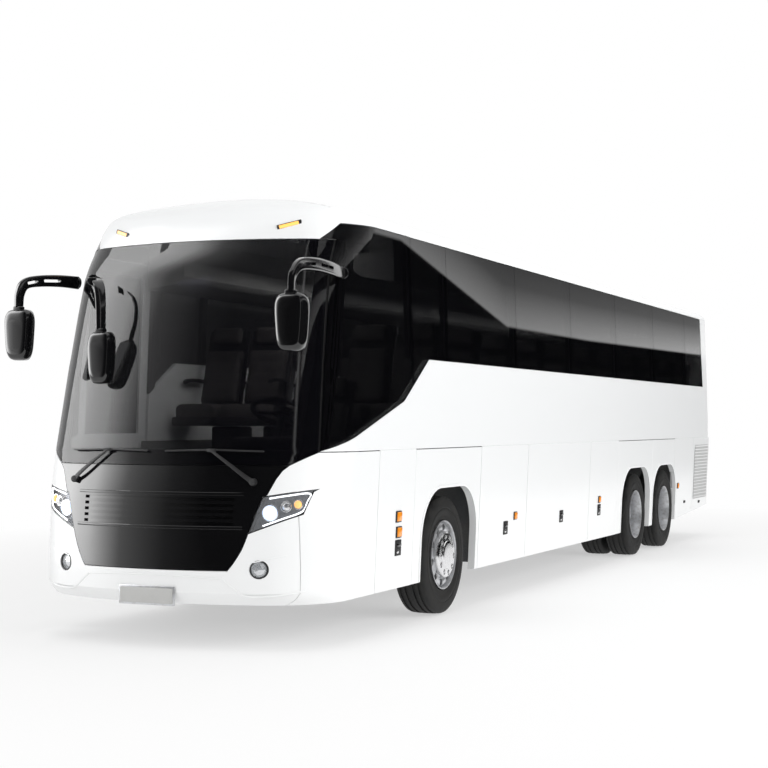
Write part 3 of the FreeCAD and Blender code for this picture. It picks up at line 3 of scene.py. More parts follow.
import bpy
from mathutils import Matrix, Vector
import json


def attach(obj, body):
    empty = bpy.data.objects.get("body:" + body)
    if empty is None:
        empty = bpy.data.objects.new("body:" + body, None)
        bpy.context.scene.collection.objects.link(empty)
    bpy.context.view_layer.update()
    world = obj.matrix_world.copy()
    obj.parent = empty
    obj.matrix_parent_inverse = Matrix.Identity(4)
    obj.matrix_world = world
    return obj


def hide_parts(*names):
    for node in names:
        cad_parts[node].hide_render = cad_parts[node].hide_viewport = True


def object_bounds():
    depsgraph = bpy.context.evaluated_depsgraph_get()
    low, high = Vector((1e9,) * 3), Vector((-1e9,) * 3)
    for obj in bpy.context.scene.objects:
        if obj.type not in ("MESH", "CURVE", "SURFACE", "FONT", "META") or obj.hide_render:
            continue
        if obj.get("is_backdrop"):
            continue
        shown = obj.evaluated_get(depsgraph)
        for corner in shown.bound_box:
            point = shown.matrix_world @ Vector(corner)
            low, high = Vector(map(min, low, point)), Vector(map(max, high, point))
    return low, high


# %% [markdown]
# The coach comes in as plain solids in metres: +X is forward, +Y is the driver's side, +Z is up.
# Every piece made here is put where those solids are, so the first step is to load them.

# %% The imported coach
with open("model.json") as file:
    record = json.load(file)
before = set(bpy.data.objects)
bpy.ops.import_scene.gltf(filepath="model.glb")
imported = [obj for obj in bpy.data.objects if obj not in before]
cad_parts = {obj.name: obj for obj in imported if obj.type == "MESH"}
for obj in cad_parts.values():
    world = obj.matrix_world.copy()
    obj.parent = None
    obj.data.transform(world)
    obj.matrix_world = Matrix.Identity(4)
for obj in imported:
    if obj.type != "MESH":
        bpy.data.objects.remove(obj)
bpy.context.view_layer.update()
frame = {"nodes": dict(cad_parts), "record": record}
nodes = frame["nodes"]

# %% [markdown]
# Operators act on whatever is selected, so one helper clears the selection and picks a single piece.

# %% Picking one piece
def pick(*pieces):
    if bpy.context.mode != "OBJECT":
        bpy.ops.object.mode_set(mode="OBJECT")
    bpy.ops.object.select_all(action="DESELECT")
    for piece in pieces:
        piece.select_set(True)
    bpy.context.view_layer.objects.active = pieces[-1]
    return pieces[-1]

# %% [markdown]
# A few small helpers do what almost every piece needs: add a primitive, turn its faces outward, round its edges,
# shade its curves smooth, point it somewhere, cut it with another solid, copy it, or join it with others.

# %% Helpers for shaping
HANDS = (("left", 1), ("right", -1))
MERGE = 0.00005


def added(kind, name="", **settings):
    bpy.ops.object.select_all(action="DESELECT")
    getattr(bpy.ops.mesh, f"primitive_{kind}_add")(**settings)
    piece = bpy.context.object
    if name:
        piece.name = piece.data.name = name
    return piece


def outward(piece, merge=0.0, fill=False):
    """Turns all faces outward, after merging doubles and closing open ends where that is asked for."""
    pick(piece)
    bpy.ops.object.mode_set(mode="EDIT")
    bpy.ops.mesh.select_all(action="SELECT")
    if merge:
        bpy.ops.mesh.remove_doubles(threshold=merge)
    if fill:
        bpy.ops.mesh.fill_holes(sides=0)
    bpy.ops.mesh.normals_make_consistent(inside=False)
    bpy.ops.object.mode_set(mode="OBJECT")
    return piece


def applied(piece, kind, **settings):
    """Puts one modifier on a piece and applies it."""
    pick(piece)
    modifier = piece.modifiers.new("step", kind)
    for key, value in settings.items():
        setattr(modifier, key, value)
    bpy.ops.object.modifier_apply(modifier="step")
    return piece


def smoothed(piece, degrees=40):
    pick(piece)
    bpy.ops.object.shade_smooth_by_angle(angle=math.radians(degrees))
    return piece


def rounded_off(piece):
    """Shades a piece smooth all over, for things that have no edge."""
    pick(piece)
    bpy.ops.object.shade_smooth()
    return piece


def rounded_box(name, size, place, edge, segments=3):
    piece = added("cube", name, size=1, location=place)
    piece.scale = size
    bpy.ops.object.transform_apply(location=False, rotation=False, scale=True)
    return smoothed(applied(piece, "BEVEL", width=edge, segments=segments))


def aimed(piece, direction, axis="Z", up="Y"):
    piece.rotation_mode = "QUATERNION"
    piece.rotation_quaternion = direction.to_track_quat(axis, up)
    return piece


def keep(piece, cutter, operation="INTERSECT"):
    """Keeps what two solids share, or with DIFFERENCE what lies outside the cutter, and throws the cutter away."""
    applied(piece, "BOOLEAN", operation=operation, solver="EXACT", object=cutter)
    bpy.data.objects.remove(cutter)
    return piece


def twin(piece, name):
    copy = piece.copy()
    copy.data = piece.data.copy()
    copy.name = copy.data.name = name
    bpy.context.scene.collection.objects.link(copy)
    return copy


def joined(name, *pieces):
    pick(*pieces)
    bpy.ops.object.join()
    made = bpy.context.object
    made.name = made.data.name = name
    return made

# %% [markdown]
# The photograph was taken from beside the driver's front corner, a little below the middle of the windscreen.
# The lens is long for so near a view, which is why the far end of the side looks short.
# Place and angles come from matching known corners of the body: yaw is the turn to the side, pitch the tilt up.

# %% The camera
YAW, PITCH, ROLL = math.radians(23.324), math.radians(1.364), math.radians(0.117)
forward = Vector((-math.cos(YAW) * math.cos(PITCH), -math.sin(YAW) * math.cos(PITCH), math.sin(PITCH)))
level_right = Vector((-math.sin(YAW), math.cos(YAW), 0))
level_up = level_right.cross(forward)
right = math.cos(ROLL) * level_right + math.sin(ROLL) * level_up
up = math.cos(ROLL) * level_up - math.sin(ROLL) * level_right
lens = bpy.data.cameras.new("photo_camera")
lens.sensor_width, lens.lens = 36, 1580.8 * 36 / 768
lens.clip_start, lens.clip_end = 0.5, 500
camera = bpy.data.objects.new("photo_camera", lens)
bpy.context.scene.collection.objects.link(camera)
camera.matrix_world = Matrix((
    (right.x, up.x, -forward.x, 16.525), (right.y, up.y, -forward.y, 6.129),
    (right.z, up.z, -forward.z, 1.651), (0, 0, 0, 1),
))
bpy.context.scene.camera = camera
bpy.context.scene.view_settings.view_transform = "Standard"
print("camera", [round(v, 2) for v in camera.location])

# %% [markdown]
# Shader maths reads best as ordinary sums. This small class wraps one socket of a material's node tree
# and gives it the usual signs, so that 1 - mask or rust * 0.3 adds the Math nodes by itself.

# %% Sums on sockets
class Wire:
    def __init__(self, finish, socket):
        self.finish, self.socket = finish, socket

    def _sum(self, operation, *values):
        return self.finish.node("ShaderNodeMath", {"operation": operation}, dict(enumerate(values)))

    def __add__(self, other):
        return self._sum("ADD", self, other)

    def __sub__(self, other):
        return self._sum("SUBTRACT", self, other)

    def __rsub__(self, other):
        return self._sum("SUBTRACT", other, self)

    def __mul__(self, other):
        return self._sum("MULTIPLY", self, other)

    __radd__, __rmul__ = __add__, __mul__

    def over(self, low, high):
        """0 below low, 1 above high, and straight between them."""
        settings = {"clamp": True}
        return self.finish.node("ShaderNodeMapRange", settings, {"Value": self, "From Min": low, "From Max": high})


class Finish:
    """A material in the making, with its Principled shader."""

    def __init__(self, name, **constants):
        self.material = bpy.data.materials.new(name)
        self.material.use_nodes = True
        self.tree = self.material.node_tree
        self.shader = self.tree.nodes["Principled BSDF"]
        self.set(**constants)

    def set(self, **values):
        for label, value in values.items():
            self.feed(self.shader.inputs[label.replace("_", " ")], value)
        return self

    def feed(self, socket, value):
        if isinstance(value, Wire):
            self.tree.links.new(value.socket, socket)
        else:
            if socket.type == "RGBA" and len(value) == 3:
                value = (*value, 1)
            socket.default_value = value

    def node(self, kind, settings=None, inputs=None, out=0):
        made = self.tree.nodes.new(kind)
        for label, value in (settings or {}).items():
            if label == "stops":
                self.fill_ramp(made.color_ramp, value)
            else:
                setattr(made, label, value)
        for key, value in (inputs or {}).items():
            self.feed(made.inputs[key], value)
        return Wire(self, made.outputs[out])

    def fill_ramp(self, ramp, stops):
        while len(ramp.elements) < len(stops):
            ramp.elements.new(0.5)
        for element, (place, value) in zip(ramp.elements, stops):
            element.position = place
            element.color = (*value, 1) if isinstance(value, tuple) else (value, value, value, 1)

    def place(self):
        """Where a point is on the coach, in metres."""
        return self.node("ShaderNodeTexCoord", out="Object")

    def axis(self, letter):
        return self.node("ShaderNodeSeparateXYZ", inputs={0: self.place()}, out=letter)

    def stretched(self, x, y, z):
        return self.node("ShaderNodeMapping", inputs={"Vector": self.place(), "Scale": (x, y, z)})

    def noise(self, scale, detail=2, vector=None, rough=0.5):
        values = {"Vector": vector or self.place(), "Scale": scale, "Detail": detail, "Roughness": rough}
        return self.node("ShaderNodeTexNoise", {}, values, out="Fac")

    def mix(self, share, first, second):
        return self.node("ShaderNodeMix", {"data_type": "RGBA"}, {0: share, 6: first, 7: second}, out=2)

    def bump(self, height, strength, distance=0.001):
        values = {"Height": height, "Strength": strength, "Distance": distance}
        self.set(Normal=self.node("ShaderNodeBump", {}, values))
        return self

# %% [markdown]
# A coach is sprayed in two-pack enamel: a white coat under a clear one. Up close it has a very fine orange peel,
# and road film greys it a little toward the skirts, so both are mixed from noise and from the height.

# %% Coachwork paint
def coach_paint():
    paint = Finish("coach_paint", Roughness=0.36, Coat_Weight=0.45, Coat_Roughness=0.16)
    height = paint.axis("Z")
    film = paint.noise(2.2, 5, paint.stretched(0.6, 1, 2.2))
    low = 1 - height.over(0.3, 1.5)
    dust = (film.over(0.3, 0.95) * 0.14 + low * 0.5) * 0.2
    paint.set(Base_Color=paint.mix(dust, (0.86, 0.87, 0.875), (0.62, 0.60, 0.56)))
    paint.set(Roughness=0.34 + dust * 0.6)
    return paint.bump(paint.noise(420, 2), 0.02, 0.0003)

white_paint = coach_paint()

# %% [markdown]
# The glazing is dark privacy glass. Real tinted glass still lets a little light through, so the shader keeps
# a dark, very smooth surface that is partly see-through; the seats and racks then show as in the photograph.

# %% Tinted glass
def tinted_glass(name, opacity, tint, shine):
    glass = Finish(name, Roughness=0.03, Base_Color=tint, Alpha=opacity, Specular_IOR_Level=shine)
    smear = glass.noise(1.3, 4, glass.stretched(1, 1, 0.6))
    glass.set(Roughness=0.004 + smear.over(0.35, 0.8) * 0.012)
    return glass

side_glass = tinted_glass("side_glass", 0.82, (0.002, 0.002, 0.0025), 0.4)
screen_glass = tinted_glass("screen_glass", 0.68, (0.003, 0.003, 0.004), 0.5)

# %% [markdown]
# Most other finishes wear in the same way: a noise picks out the worn, dusty or oily places, and there the colour
# and the roughness move from a clean state to a worn one. Plastics and paints also get a fine bump.

# %% Plastics, metals and rubbers
def worn(name, scale, detail, span, clean, used, rough, gain, bump=None, share=1.0, stretch=None, **constants):
    finish = Finish(name, **constants)
    spots = finish.noise(scale, detail, finish.stretched(*stretch) if stretch else None)
    if span:
        spots = spots.over(*span)
    finish.set(Base_Color=finish.mix(spots * share, clean, used), Roughness=spots * gain + rough)
    if bump:
        grain, depth, strength, distance = bump
        finish.bump(finish.noise(grain, depth), strength, distance)
    return finish

JET = (0.004, 0.004, 0.0045)
gloss_black = worn("gloss_black_plastic", 3, 4, (0.4, 0.8), JET, JET, 0.10, 0.12, (300, 2, 0.03, 0.0003),
                   Coat_Weight=0.5, Coat_Roughness=0.03)
matt_black = worn("matt_black_plastic", 14, 5, (0.5, 0.8), (0.016, 0.016, 0.017), (0.036, 0.036, 0.036), 0.55, 0.15,
                  (900, 2, 0.25, 0.0003))
silver_enamel = worn("wheel_enamel", 26, 6, (0.45, 0.75), (0.62, 0.63, 0.65), (0.30, 0.28, 0.26), 0.32, 0.2,
                     (350, 3, 0.06, 0.0004), share=0.55, Metallic=0.75)
zinc_bright = worn("bright_metal", 160, 3, None, (0.78, 0.78, 0.79), (0.90, 0.90, 0.91), 0.12, 0.16,
                   stretch=(1, 8, 1), Metallic=1.0)
chassis_black = worn("chassis_paint", 9, 6, (0.4, 0.7), (0.030, 0.031, 0.033), (0.085, 0.078, 0.070), 0.45, 0.3,
                     (120, 3, 0.2, 0.0006))
engine_cast = worn("cast_engine", 7, 5, (0.45, 0.7), (0.16, 0.165, 0.17), (0.035, 0.03, 0.026), 0.6, -0.2,
                   (260, 4, 0.5, 0.001), Metallic=0.6)
tyre_black = worn("tyre_rubber", 11, 6, (0.42, 0.8), (0.008, 0.008, 0.008), (0.028, 0.027, 0.025), 0.62, 0.22,
                  (500, 3, 0.2, 0.0004), Specular_IOR_Level=0.4)
air_spring_rubber = worn("bellows_rubber", 20, 4, (0.4, 0.8), (0.014, 0.014, 0.014), (0.04, 0.04, 0.04), 0.6, 0.2)
pale_rack = worn("rack_plastic", 5, 4, (0.3, 0.8), (0.50, 0.50, 0.49), (0.42, 0.42, 0.41), 0.5, 0.1,
                 (700, 2, 0.15, 0.0003))
mirror_silver = worn("silvered_glass", 5, 3, (0.4, 0.9), (0.86, 0.87, 0.88), (0.80, 0.82, 0.84), 0.01, 0.03,
                     Metallic=1.0)
lamp_bowl = worn("bowl_enamel", 30, 4, (0.3, 0.8), (0.13, 0.14, 0.16), (0.06, 0.062, 0.07), 0.32, 0.0, Metallic=0.6)
inlet_grey = worn("inlet_grey", 30, 4, (0.4, 0.8), (0.45, 0.45, 0.45), (0.45, 0.45, 0.45), 0.5, 0.2)

# %% [markdown]
# Inside, the floor is a speckled safety covering and the seats are dark hide with a fine grain.

# %% Interior finishes
speckled_floor = worn("safety_floor", 3, 4, (0.45, 0.75), (0.075, 0.078, 0.082), (0.12, 0.118, 0.112), 0.5, 0.2,
                      (600, 2, 0.2, 0.0004))
fleck = speckled_floor.noise(380, 1).over(0.6, 0.66) * 0.5
ground = Wire(speckled_floor, speckled_floor.shader.inputs["Base Color"].links[0].from_socket)
speckled_floor.set(Base_Color=speckled_floor.mix(fleck, ground, (0.35, 0.35, 0.34)))
dark_hide = worn("seat_hide", 6, 4, (0.4, 0.8), (0.050, 0.047, 0.045), (0.085, 0.080, 0.077), 0.42, 0.16)
cells = {"Vector": dark_hide.place(), "Scale": 420.0}
dark_hide.bump(dark_hide.node("ShaderNodeTexVoronoi", {}, cells, out="Distance"), 0.25, 0.0006)

# %% [markdown]
# Lamp covers are clear, amber or red acrylic. A fine ribbing breaks the light, which a wave texture gives.

# %% Lamp acrylics
def acrylic(name, tint, opacity, rib_scale):
    cover = Finish(name, Roughness=0.06, Alpha=opacity, Coat_Weight=0.4, Coat_Roughness=0.02)
    ribs = cover.node("ShaderNodeTexWave", {"bands_direction": "Z"}, {"Vector": cover.place(), "Scale": rib_scale})
    haze = cover.noise(40, 3).over(0.4, 0.8)
    cover.set(Base_Color=cover.mix(haze * 0.25, tint, tuple(0.6 * c for c in tint)))
    return cover.bump(ribs, 0.12, 0.0008)

clear_acrylic = acrylic("clear_acrylic", (0.72, 0.75, 0.78), 0.32, 30)
amber_acrylic = acrylic("amber_acrylic", (0.90, 0.30, 0.02), 1.0, 60)
red_acrylic = acrylic("red_acrylic", (0.42, 0.012, 0.012), 1.0, 60)
lamp_cover = acrylic("lamp_cover", (0.80, 0.82, 0.85), 0.07, 8)


def lit(name, colour, strength):
    glow = worn(name, 60, 2, (0.3, 0.8), colour, tuple(0.7 * c for c in colour), 0.2, 0.0, share=0.3)
    return glow.set(Emission_Color=colour, Emission_Strength=strength)

lit_strip = lit("lit_strip", (0.95, 0.97, 1.0), 1.3)
lit_projector = lit("lit_projector", (0.62, 0.76, 1.0), 1.1)
lit_amber = lit("lit_amber", (1.0, 0.50, 0.12), 0.7)

# %% [markdown]
# Each solid whose shape is already right only gets its finish. The list goes by the record's material slots.

# %% Finishes on the solids
SLOT_FINISH = {
    "body_paint": white_paint, "tinted_glass": side_glass, "gloss_black": gloss_black, "matte_black": matt_black,
    "lamp_lens": clear_acrylic, "tail_lens": red_acrylic, "floor_covering": speckled_floor,
    "seat_leather": dark_hide, "rack_plastic": pale_rack, "chassis_paint": chassis_black,
    "engine_metal": engine_cast, "bellows_rubber": air_spring_rubber, "wheel_silver": silver_enamel,
    "tyre_rubber": tyre_black,
}
slot_of = {entry["node"]: entry["material_slot"] for entry in frame["record"]["subparts"]}


def wear(piece, finish):
    piece.data.materials.clear()
    piece.data.materials.append(finish.material)
    return piece

for name, node in nodes.items():
    wear(node, SLOT_FINISH[slot_of[name]])
wear(nodes["windscreen"], screen_glass)
print("finishes on", len(nodes), "solids")

# %% [markdown]
# A finished piece has its place fixed in its mesh, wears its finish and rides with a body.

# %% Handing a piece over
body_of = {node: body for body, members in frame["record"]["behaviour"]["bodies"].items() for node in members}


def settle(piece, body, finish=None):
    pick(piece)
    bpy.ops.object.transform_apply(location=True, rotation=True, scale=True)
    if finish:
        wear(piece, finish)
    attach(piece, body)
    return piece


def settle_as(piece, node, finish, stands=False):
    """Settles a piece with the body of a solid, and lets it stand for the solid where that is asked for."""
    settle(piece, body_of[node], finish)
    if stands:
        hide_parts(node)
    return piece

# %% [markdown]
# The body panels of the solids have the right shape, but their edges are razor sharp and their curves are flat strips.
# On the real coach every panel's edge is turned over by a few millimetres, and that small radius catches the light
# at each seam. So each panel is copied, its loose triangles are merged and flattened where they lie in one plane,
# its edges get a narrow bevel, and its curves are shaded smooth. The copy then stands for the solid.

# %% Panels with turned edges
PANEL_EDGE = 0.0035


def even_normals(piece):
    """Lets the large faces set the shading, so that a flat panel stays flat up to its bevel."""
    return applied(piece, "WEIGHTED_NORMAL", keep_sharp=True, weight=80, mode="FACE_AREA")


def turned_panel(node, name, finish, edge=PANEL_EDGE, smooth=32, flat=0.4):
    panel = bpy.data.objects.new(name, nodes[node].data.copy())
    panel.data.name = name
    bpy.context.scene.collection.objects.link(panel)
    pick(panel)
    bpy.ops.object.mode_set(mode="EDIT")
    bpy.ops.mesh.select_all(action="SELECT")
    bpy.ops.mesh.remove_doubles(threshold=0.00002)
    if flat:
        bpy.ops.mesh.dissolve_limited(angle_limit=math.radians(flat))
    bpy.ops.object.mode_set(mode="OBJECT")
    if edge:
        applied(panel, "BEVEL", width=edge, segments=2, limit_method="ANGLE", angle_limit=math.radians(40),
                miter_outer="MITER_ARC")
    even_normals(smoothed(panel, smooth))
    return settle_as(panel, node, finish, stands=True)

WHITE_PANELS = [
    "roof", "side_walls", "skirt_panels", "rear_wall", "rear_bumper",
    "engine_hatch", "front_door", "middle_door", "locker_flap_left",
] + [name for name in nodes if name.startswith(("luggage_flap", "rear_locker", "engine_flap"))]
GLASS_PANES = ["side_windows", "middle_door_glass", "rear_window"]
for node in WHITE_PANELS:
    turned_panel(node, node + "_painted", white_paint)
for node in GLASS_PANES:
    turned_panel(node, node + "_tinted", side_glass, edge=0.0015)
turned_panel("front_door_glass", "front_door_glass_tinted", side_glass, edge=0, flat=0)
print("turned panels:", len(WHITE_PANELS) + len(GLASS_PANES) + 1)

# %% [markdown]
# Round parts are turned on a lathe or pressed over one, and Blender's spin does the same: a closed outline,
# given as pairs of width across the wheel and radius, is swept round the axle. A ring of vertices is the start,
# each vertex is moved to its place on the outline, and the spin makes the solid.

# %% Spun shapes
def spun(name, outline, steps, smooth=35):
    piece = added("circle", name, vertices=len(outline), radius=1)
    for vertex, (across, radius) in zip(piece.data.vertices, outline):
        vertex.co = (radius, across, 0)
    bpy.ops.object.mode_set(mode="EDIT")
    bpy.ops.mesh.select_all(action="SELECT")
    bpy.ops.mesh.spin(steps=steps, angle=2 * math.pi, center=(0, 0, 0), axis=(0, 1, 0))
    return smoothed(outward(piece, MERGE), smooth)


def around(count, circle, across, radius, deep, sides, start=0.0, turned=False):
    """Short cylinders along the axle, evenly spaced round a circle."""
    made = []
    for index in range(count):
        angle = start + 2 * math.pi * index / count
        place = (circle * math.cos(angle), across, circle * math.sin(angle))
        made.append(added("cylinder", vertices=sides, radius=radius, depth=deep, location=place,
                          rotation=(math.pi / 2, angle if turned else 0, 0)))
    return made

# %% [markdown]
# A coach tyre has a flat tread with straight grooves all round, for even wear on motorways, and short cuts
# across its shoulders. The flank bulges to its full width half way up, with a few moulded rings that scuff first.
# The outline gives one half from the tread to the bead, and the other half is its mirror.

# %% Tyre
TYRE_HALF = [
    (0.0, 0.5120), (0.029, 0.5120), (0.031, 0.5000), (0.041, 0.5000), (0.043, 0.5115), (0.079, 0.5105),
    (0.081, 0.4990), (0.091, 0.4990), (0.093, 0.5090), (0.112, 0.5070), (0.127, 0.5010), (0.136, 0.4900),
    (0.1415, 0.4720), (0.1430, 0.4640), (0.1445, 0.4560), (0.1464, 0.4380), (0.1475, 0.4180), (0.1472, 0.4040),
    (0.1452, 0.4010), (0.1452, 0.3970), (0.1466, 0.3940), (0.1452, 0.3740), (0.1424, 0.3560), (0.1390, 0.3400),
    (0.1360, 0.3250), (0.1368, 0.3200), (0.1340, 0.3080), (0.1330, 0.2990), (0.1300, 0.2930), (0.1150, 0.2870),
]
tyre_outline = TYRE_HALF + [(-across, radius) for across, radius in reversed(TYRE_HALF[1:])]
TREAD_STEPS = 132
tyre = spun("tyre_master", tyre_outline, TREAD_STEPS, smooth=30)
pick(tyre)
for face in tyre.data.polygons:
    reach = math.hypot(face.center.x, face.center.z)
    turn = math.atan2(face.center.z, face.center.x) / (2 * math.pi) * TREAD_STEPS
    shoulder = 0.093 < abs(face.center.y) < 0.1418 and reach > 0.468
    face.select = shoulder and math.floor(turn) % 3 == 0
bpy.ops.object.mode_set(mode="EDIT")
bpy.ops.mesh.select_mode(type="FACE")
bpy.ops.mesh.inset(thickness=0.0018, depth=-0.007)
bpy.ops.object.mode_set(mode="OBJECT")
wear(tyre, tyre_black)
print("tyre faces:", len(tyre.data.polygons))

# %% [markdown]
# The steel wheels are pressed discs welded into rolled rims. At the front the disc lies close to the outer lip,
# has ten hand holes, and a bright steel cover stands out over the hub with a pocket for each nut.
# At the back the same disc faces the other way, so the wheel is a deep dish with the hub in its middle.

# %% Wheel rims
RIM_SECTION = [
    (0.1385, 0.2945), (0.1395, 0.2880), (0.1340, 0.2820), (0.1180, 0.2785), (0.0950, 0.2740), (0.0600, 0.2660),
    (-0.0600, 0.2600), (-0.0950, 0.2700), (-0.1300, 0.2780), (-0.1395, 0.2850), (-0.1385, 0.2945),
    (-0.1320, 0.2940), (-0.1280, 0.2860), (-0.0900, 0.2790), (-0.0600, 0.2700), (0.0600, 0.2760),
    (0.0950, 0.2830), (0.1280, 0.2860), (0.1320, 0.2940),
]
FRONT_DISC = [
    (0.0880, 0.2760), (0.1020, 0.2740), (0.1160, 0.2640), (0.1225, 0.2480), (0.1230, 0.2240), (0.1190, 0.2080),
    (0.1060, 0.1960), (0.1000, 0.1800), (0.1000, 0.0600), (0.0900, 0.0600), (0.0900, 0.1820), (0.0960, 0.2000),
    (0.1100, 0.2120), (0.1130, 0.2240), (0.1125, 0.2460), (0.1080, 0.2580), (0.0960, 0.2660), (0.0880, 0.2680),
]
BACK_DISC = [
    (-0.0100, 0.2630), (-0.0300, 0.2600), (-0.0520, 0.2500), (-0.0660, 0.2340), (-0.0720, 0.2140), (-0.0720, 0.1000),
    (-0.0840, 0.1000), (-0.0840, 0.2160), (-0.0770, 0.2400), (-0.0610, 0.2600), (-0.0400, 0.2680), (-0.0100, 0.2700),
]
NUT_COUNT, NUT_START, RIM_STEPS = 10, 0.31, 100


def hand_holes(disc, circle, radius, middle):
    return keep(disc, joined("hand_hole_cutter", *around(10, circle, middle, radius, 0.1, 24)), "DIFFERENCE")


def nuts(circle, seat, reach):
    """Hexagon nuts with their washers and studs, set round a circle."""
    made = []
    for sides, radius, deep in ((20, 0.0215, 0.006), (6, 0.0175, reach), (14, 0.0105, reach + 0.007)):
        for part in around(NUT_COUNT, circle, seat + deep / 2, radius, deep, sides, NUT_START, turned=True):
            made.append(applied(part, "BEVEL", width=0.0015, segments=1))
    return made

rolled_rim = spun("rolled_rim", RIM_SECTION, RIM_STEPS)
front_disc = hand_holes(spun("front_disc", FRONT_DISC, RIM_STEPS), 0.2360, 0.0300, 0.115)
back_disc = hand_holes(spun("back_disc", BACK_DISC, RIM_STEPS), 0.2290, 0.0240, -0.065)
print("faces of rim and discs:", [len(part.data.polygons) for part in (rolled_rim, front_disc, back_disc)])

# %% [markdown]
# The front hub's cover is a bright pressed dish. Ten round pockets are cut in its rim, and a nut stands in each;
# in the photograph the pockets show as dark crescents. A low cap closes the middle.

# %% Front hub cover
HUB_COVER = [
    (0.0990, 0.2010), (0.1420, 0.1975), (0.1560, 0.1930), (0.1640, 0.1840), (0.1660, 0.1700), (0.1660, 0.1300),
    (0.1680, 0.1220), (0.1760, 0.1180), (0.1790, 0.1100), (0.1800, 0.0960), (0.1804, 0.0500), (0.1804, 0.0000),
    (0.1100, 0.0000), (0.0990, 0.1000),
]
hub_cover = spun("hub_cover", HUB_COVER, RIM_STEPS, smooth=28)
pockets = joined("pocket_cutter", *around(NUT_COUNT, 0.1560, 0.1720, 0.0235, 0.06, 28, NUT_START))
hub_cover = joined("hub_cover", *nuts(0.1560, 0.1420, 0.022), keep(hub_cover, pockets, "DIFFERENCE"))
wear(hub_cover, zinc_bright)

# %% [markdown]
# The rear hub is a stepped casting with a bolted flange. Nuts hold the wheel at the bottom of the dish.

# %% Rear hub
REAR_HUB = [
    (-0.0720, 0.1450), (-0.0300, 0.1390), (-0.0150, 0.1280), (-0.0120, 0.1180), (0.0350, 0.1120), (0.0480, 0.1060),
    (0.0520, 0.0980), (0.0520, 0.0560), (0.0580, 0.0520), (0.0600, 0.0440), (0.0600, 0.0000), (-0.0700, 0.0000),
]
rear_hub = spun("rear_hub", REAR_HUB, 64, smooth=28)
flange_bolts = around(8, 0.0790, 0.0560, 0.0095, 0.010, 6, turned=True)
rear_hub = joined("rear_hub", *nuts(0.1720, -0.0720, 0.024), *flange_bolts, rear_hub)
wear(rear_hub, silver_enamel)

# %% [markdown]
# One tyre and each kind of wheel are now complete. Every place gets its own copy: the left ones are pushed out to
# their track, and the right ones are turned half round the upright line through the coach's middle first.

# %% Wheels in their places
AXLE_Z, OUTER_Y, TWIN_Y = 0.512, 1.0875, 0.7525
AXLES = (
    ("front", 3.843, "wheel", "rim", "tyre", front_disc, hub_cover, (OUTER_Y,)),
    ("drive", -2.737, "wheels", "rims", "tyres", back_disc, rear_hub, (OUTER_Y, TWIN_Y)),
    ("tag", -4.231, "wheel", "rim", "tyre", back_disc, rear_hub, (OUTER_Y,)),
)


def placed(master, name, x, side, across, body, turn, flip=False):
    copy = twin(master, name)
    face = Matrix.Rotation(math.pi if (side < 0) != flip else 0, 4, "Z")
    copy.matrix_world = Matrix.Translation((x, side * across, AXLE_Z)) @ face @ Matrix.Rotation(turn, 4, "Y")
    return settle(copy, body)

for master in (rolled_rim, front_disc, back_disc):
    wear(master, silver_enamel)
for hand, side in HANDS:
    for axle, x, wheel, rim, rubber, disc, hub, across in AXLES:
        body = f"{axle}_{wheel}_{hand}"
        for place, y in zip(("outer", "inner"), across):
            label = f"{axle}_{hand}_{place}"
            turn = math.radians(11.0 * (len(label) % 5))
            shown = placed(tyre, "tyre_" + label, x, side, y, body, turn)
            if place == "outer":
                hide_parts(f"{axle}_{rubber}_{hand}")
            placed(rolled_rim, "rim_" + label, x, side, y, body, turn)
        shown = placed(disc, f"disc_{axle}_{hand}", x, side, OUTER_Y, body, turn)
        placed(hub, f"hub_{axle}_{hand}", x, side, OUTER_Y, body, turn)
        if axle == "drive":
            placed(back_disc, f"disc_{axle}_{hand}_inner", x, side, TWIN_Y, body, turn, flip=True)
        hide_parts(f"{axle}_{rim}_{hand}")
for master in (tyre, rolled_rim, front_disc, back_disc, hub_cover, rear_hub):
    bpy.data.objects.remove(master)
print("wheels placed")

# %% [markdown]
# The nose is one smooth surface. Seen from above, it is a wide crown arc with a tighter corner arc at each side;
# going up, it leans back, slowly at first and quickly near the roof. The heights and set-backs below are measured
# ones, and a smooth curve is drawn through them, so that reflections run over the nose without breaks.

# %% The nose's surface
NOSE_FRONT, NOSE_BACK, NOSE_TOP_Z = 6.640, 4.588, 3.425
SKIRT_Z, WAIST_Z, CANT_Z = 0.325, 1.427, 3.160
WAIST_HALF, SKIRT_TUCK, CANT_LEAN = 1.275, 0.050, 0.065
CROWN_RADIUS, CORNER_RADIUS, NOSE_RAKE = 2.360, 0.590, 1.290
RAKE_SHARES = [
    (0.0949, 0.0837), (0.1168, 0.0124), (0.1752, 0.0150), (0.3154, 0.0450), (0.4166, 0.1038), (0.5985, 0.2100),
    (0.8117, 0.3574), (0.8818, 0.4628), (0.9372, 0.5705), (0.9723, 0.6977), (1.0030, 1.0),
]


def side_half(z):
    """Half the body's width at a height: tucked in below the waist, leaning in above it."""
    if z < WAIST_Z:
        return WAIST_HALF - SKIRT_TUCK * (WAIST_Z - z) / (WAIST_Z - SKIRT_Z)
    return WAIST_HALF - CANT_LEAN * (min(z, CANT_Z) - WAIST_Z) / (CANT_Z - WAIST_Z)


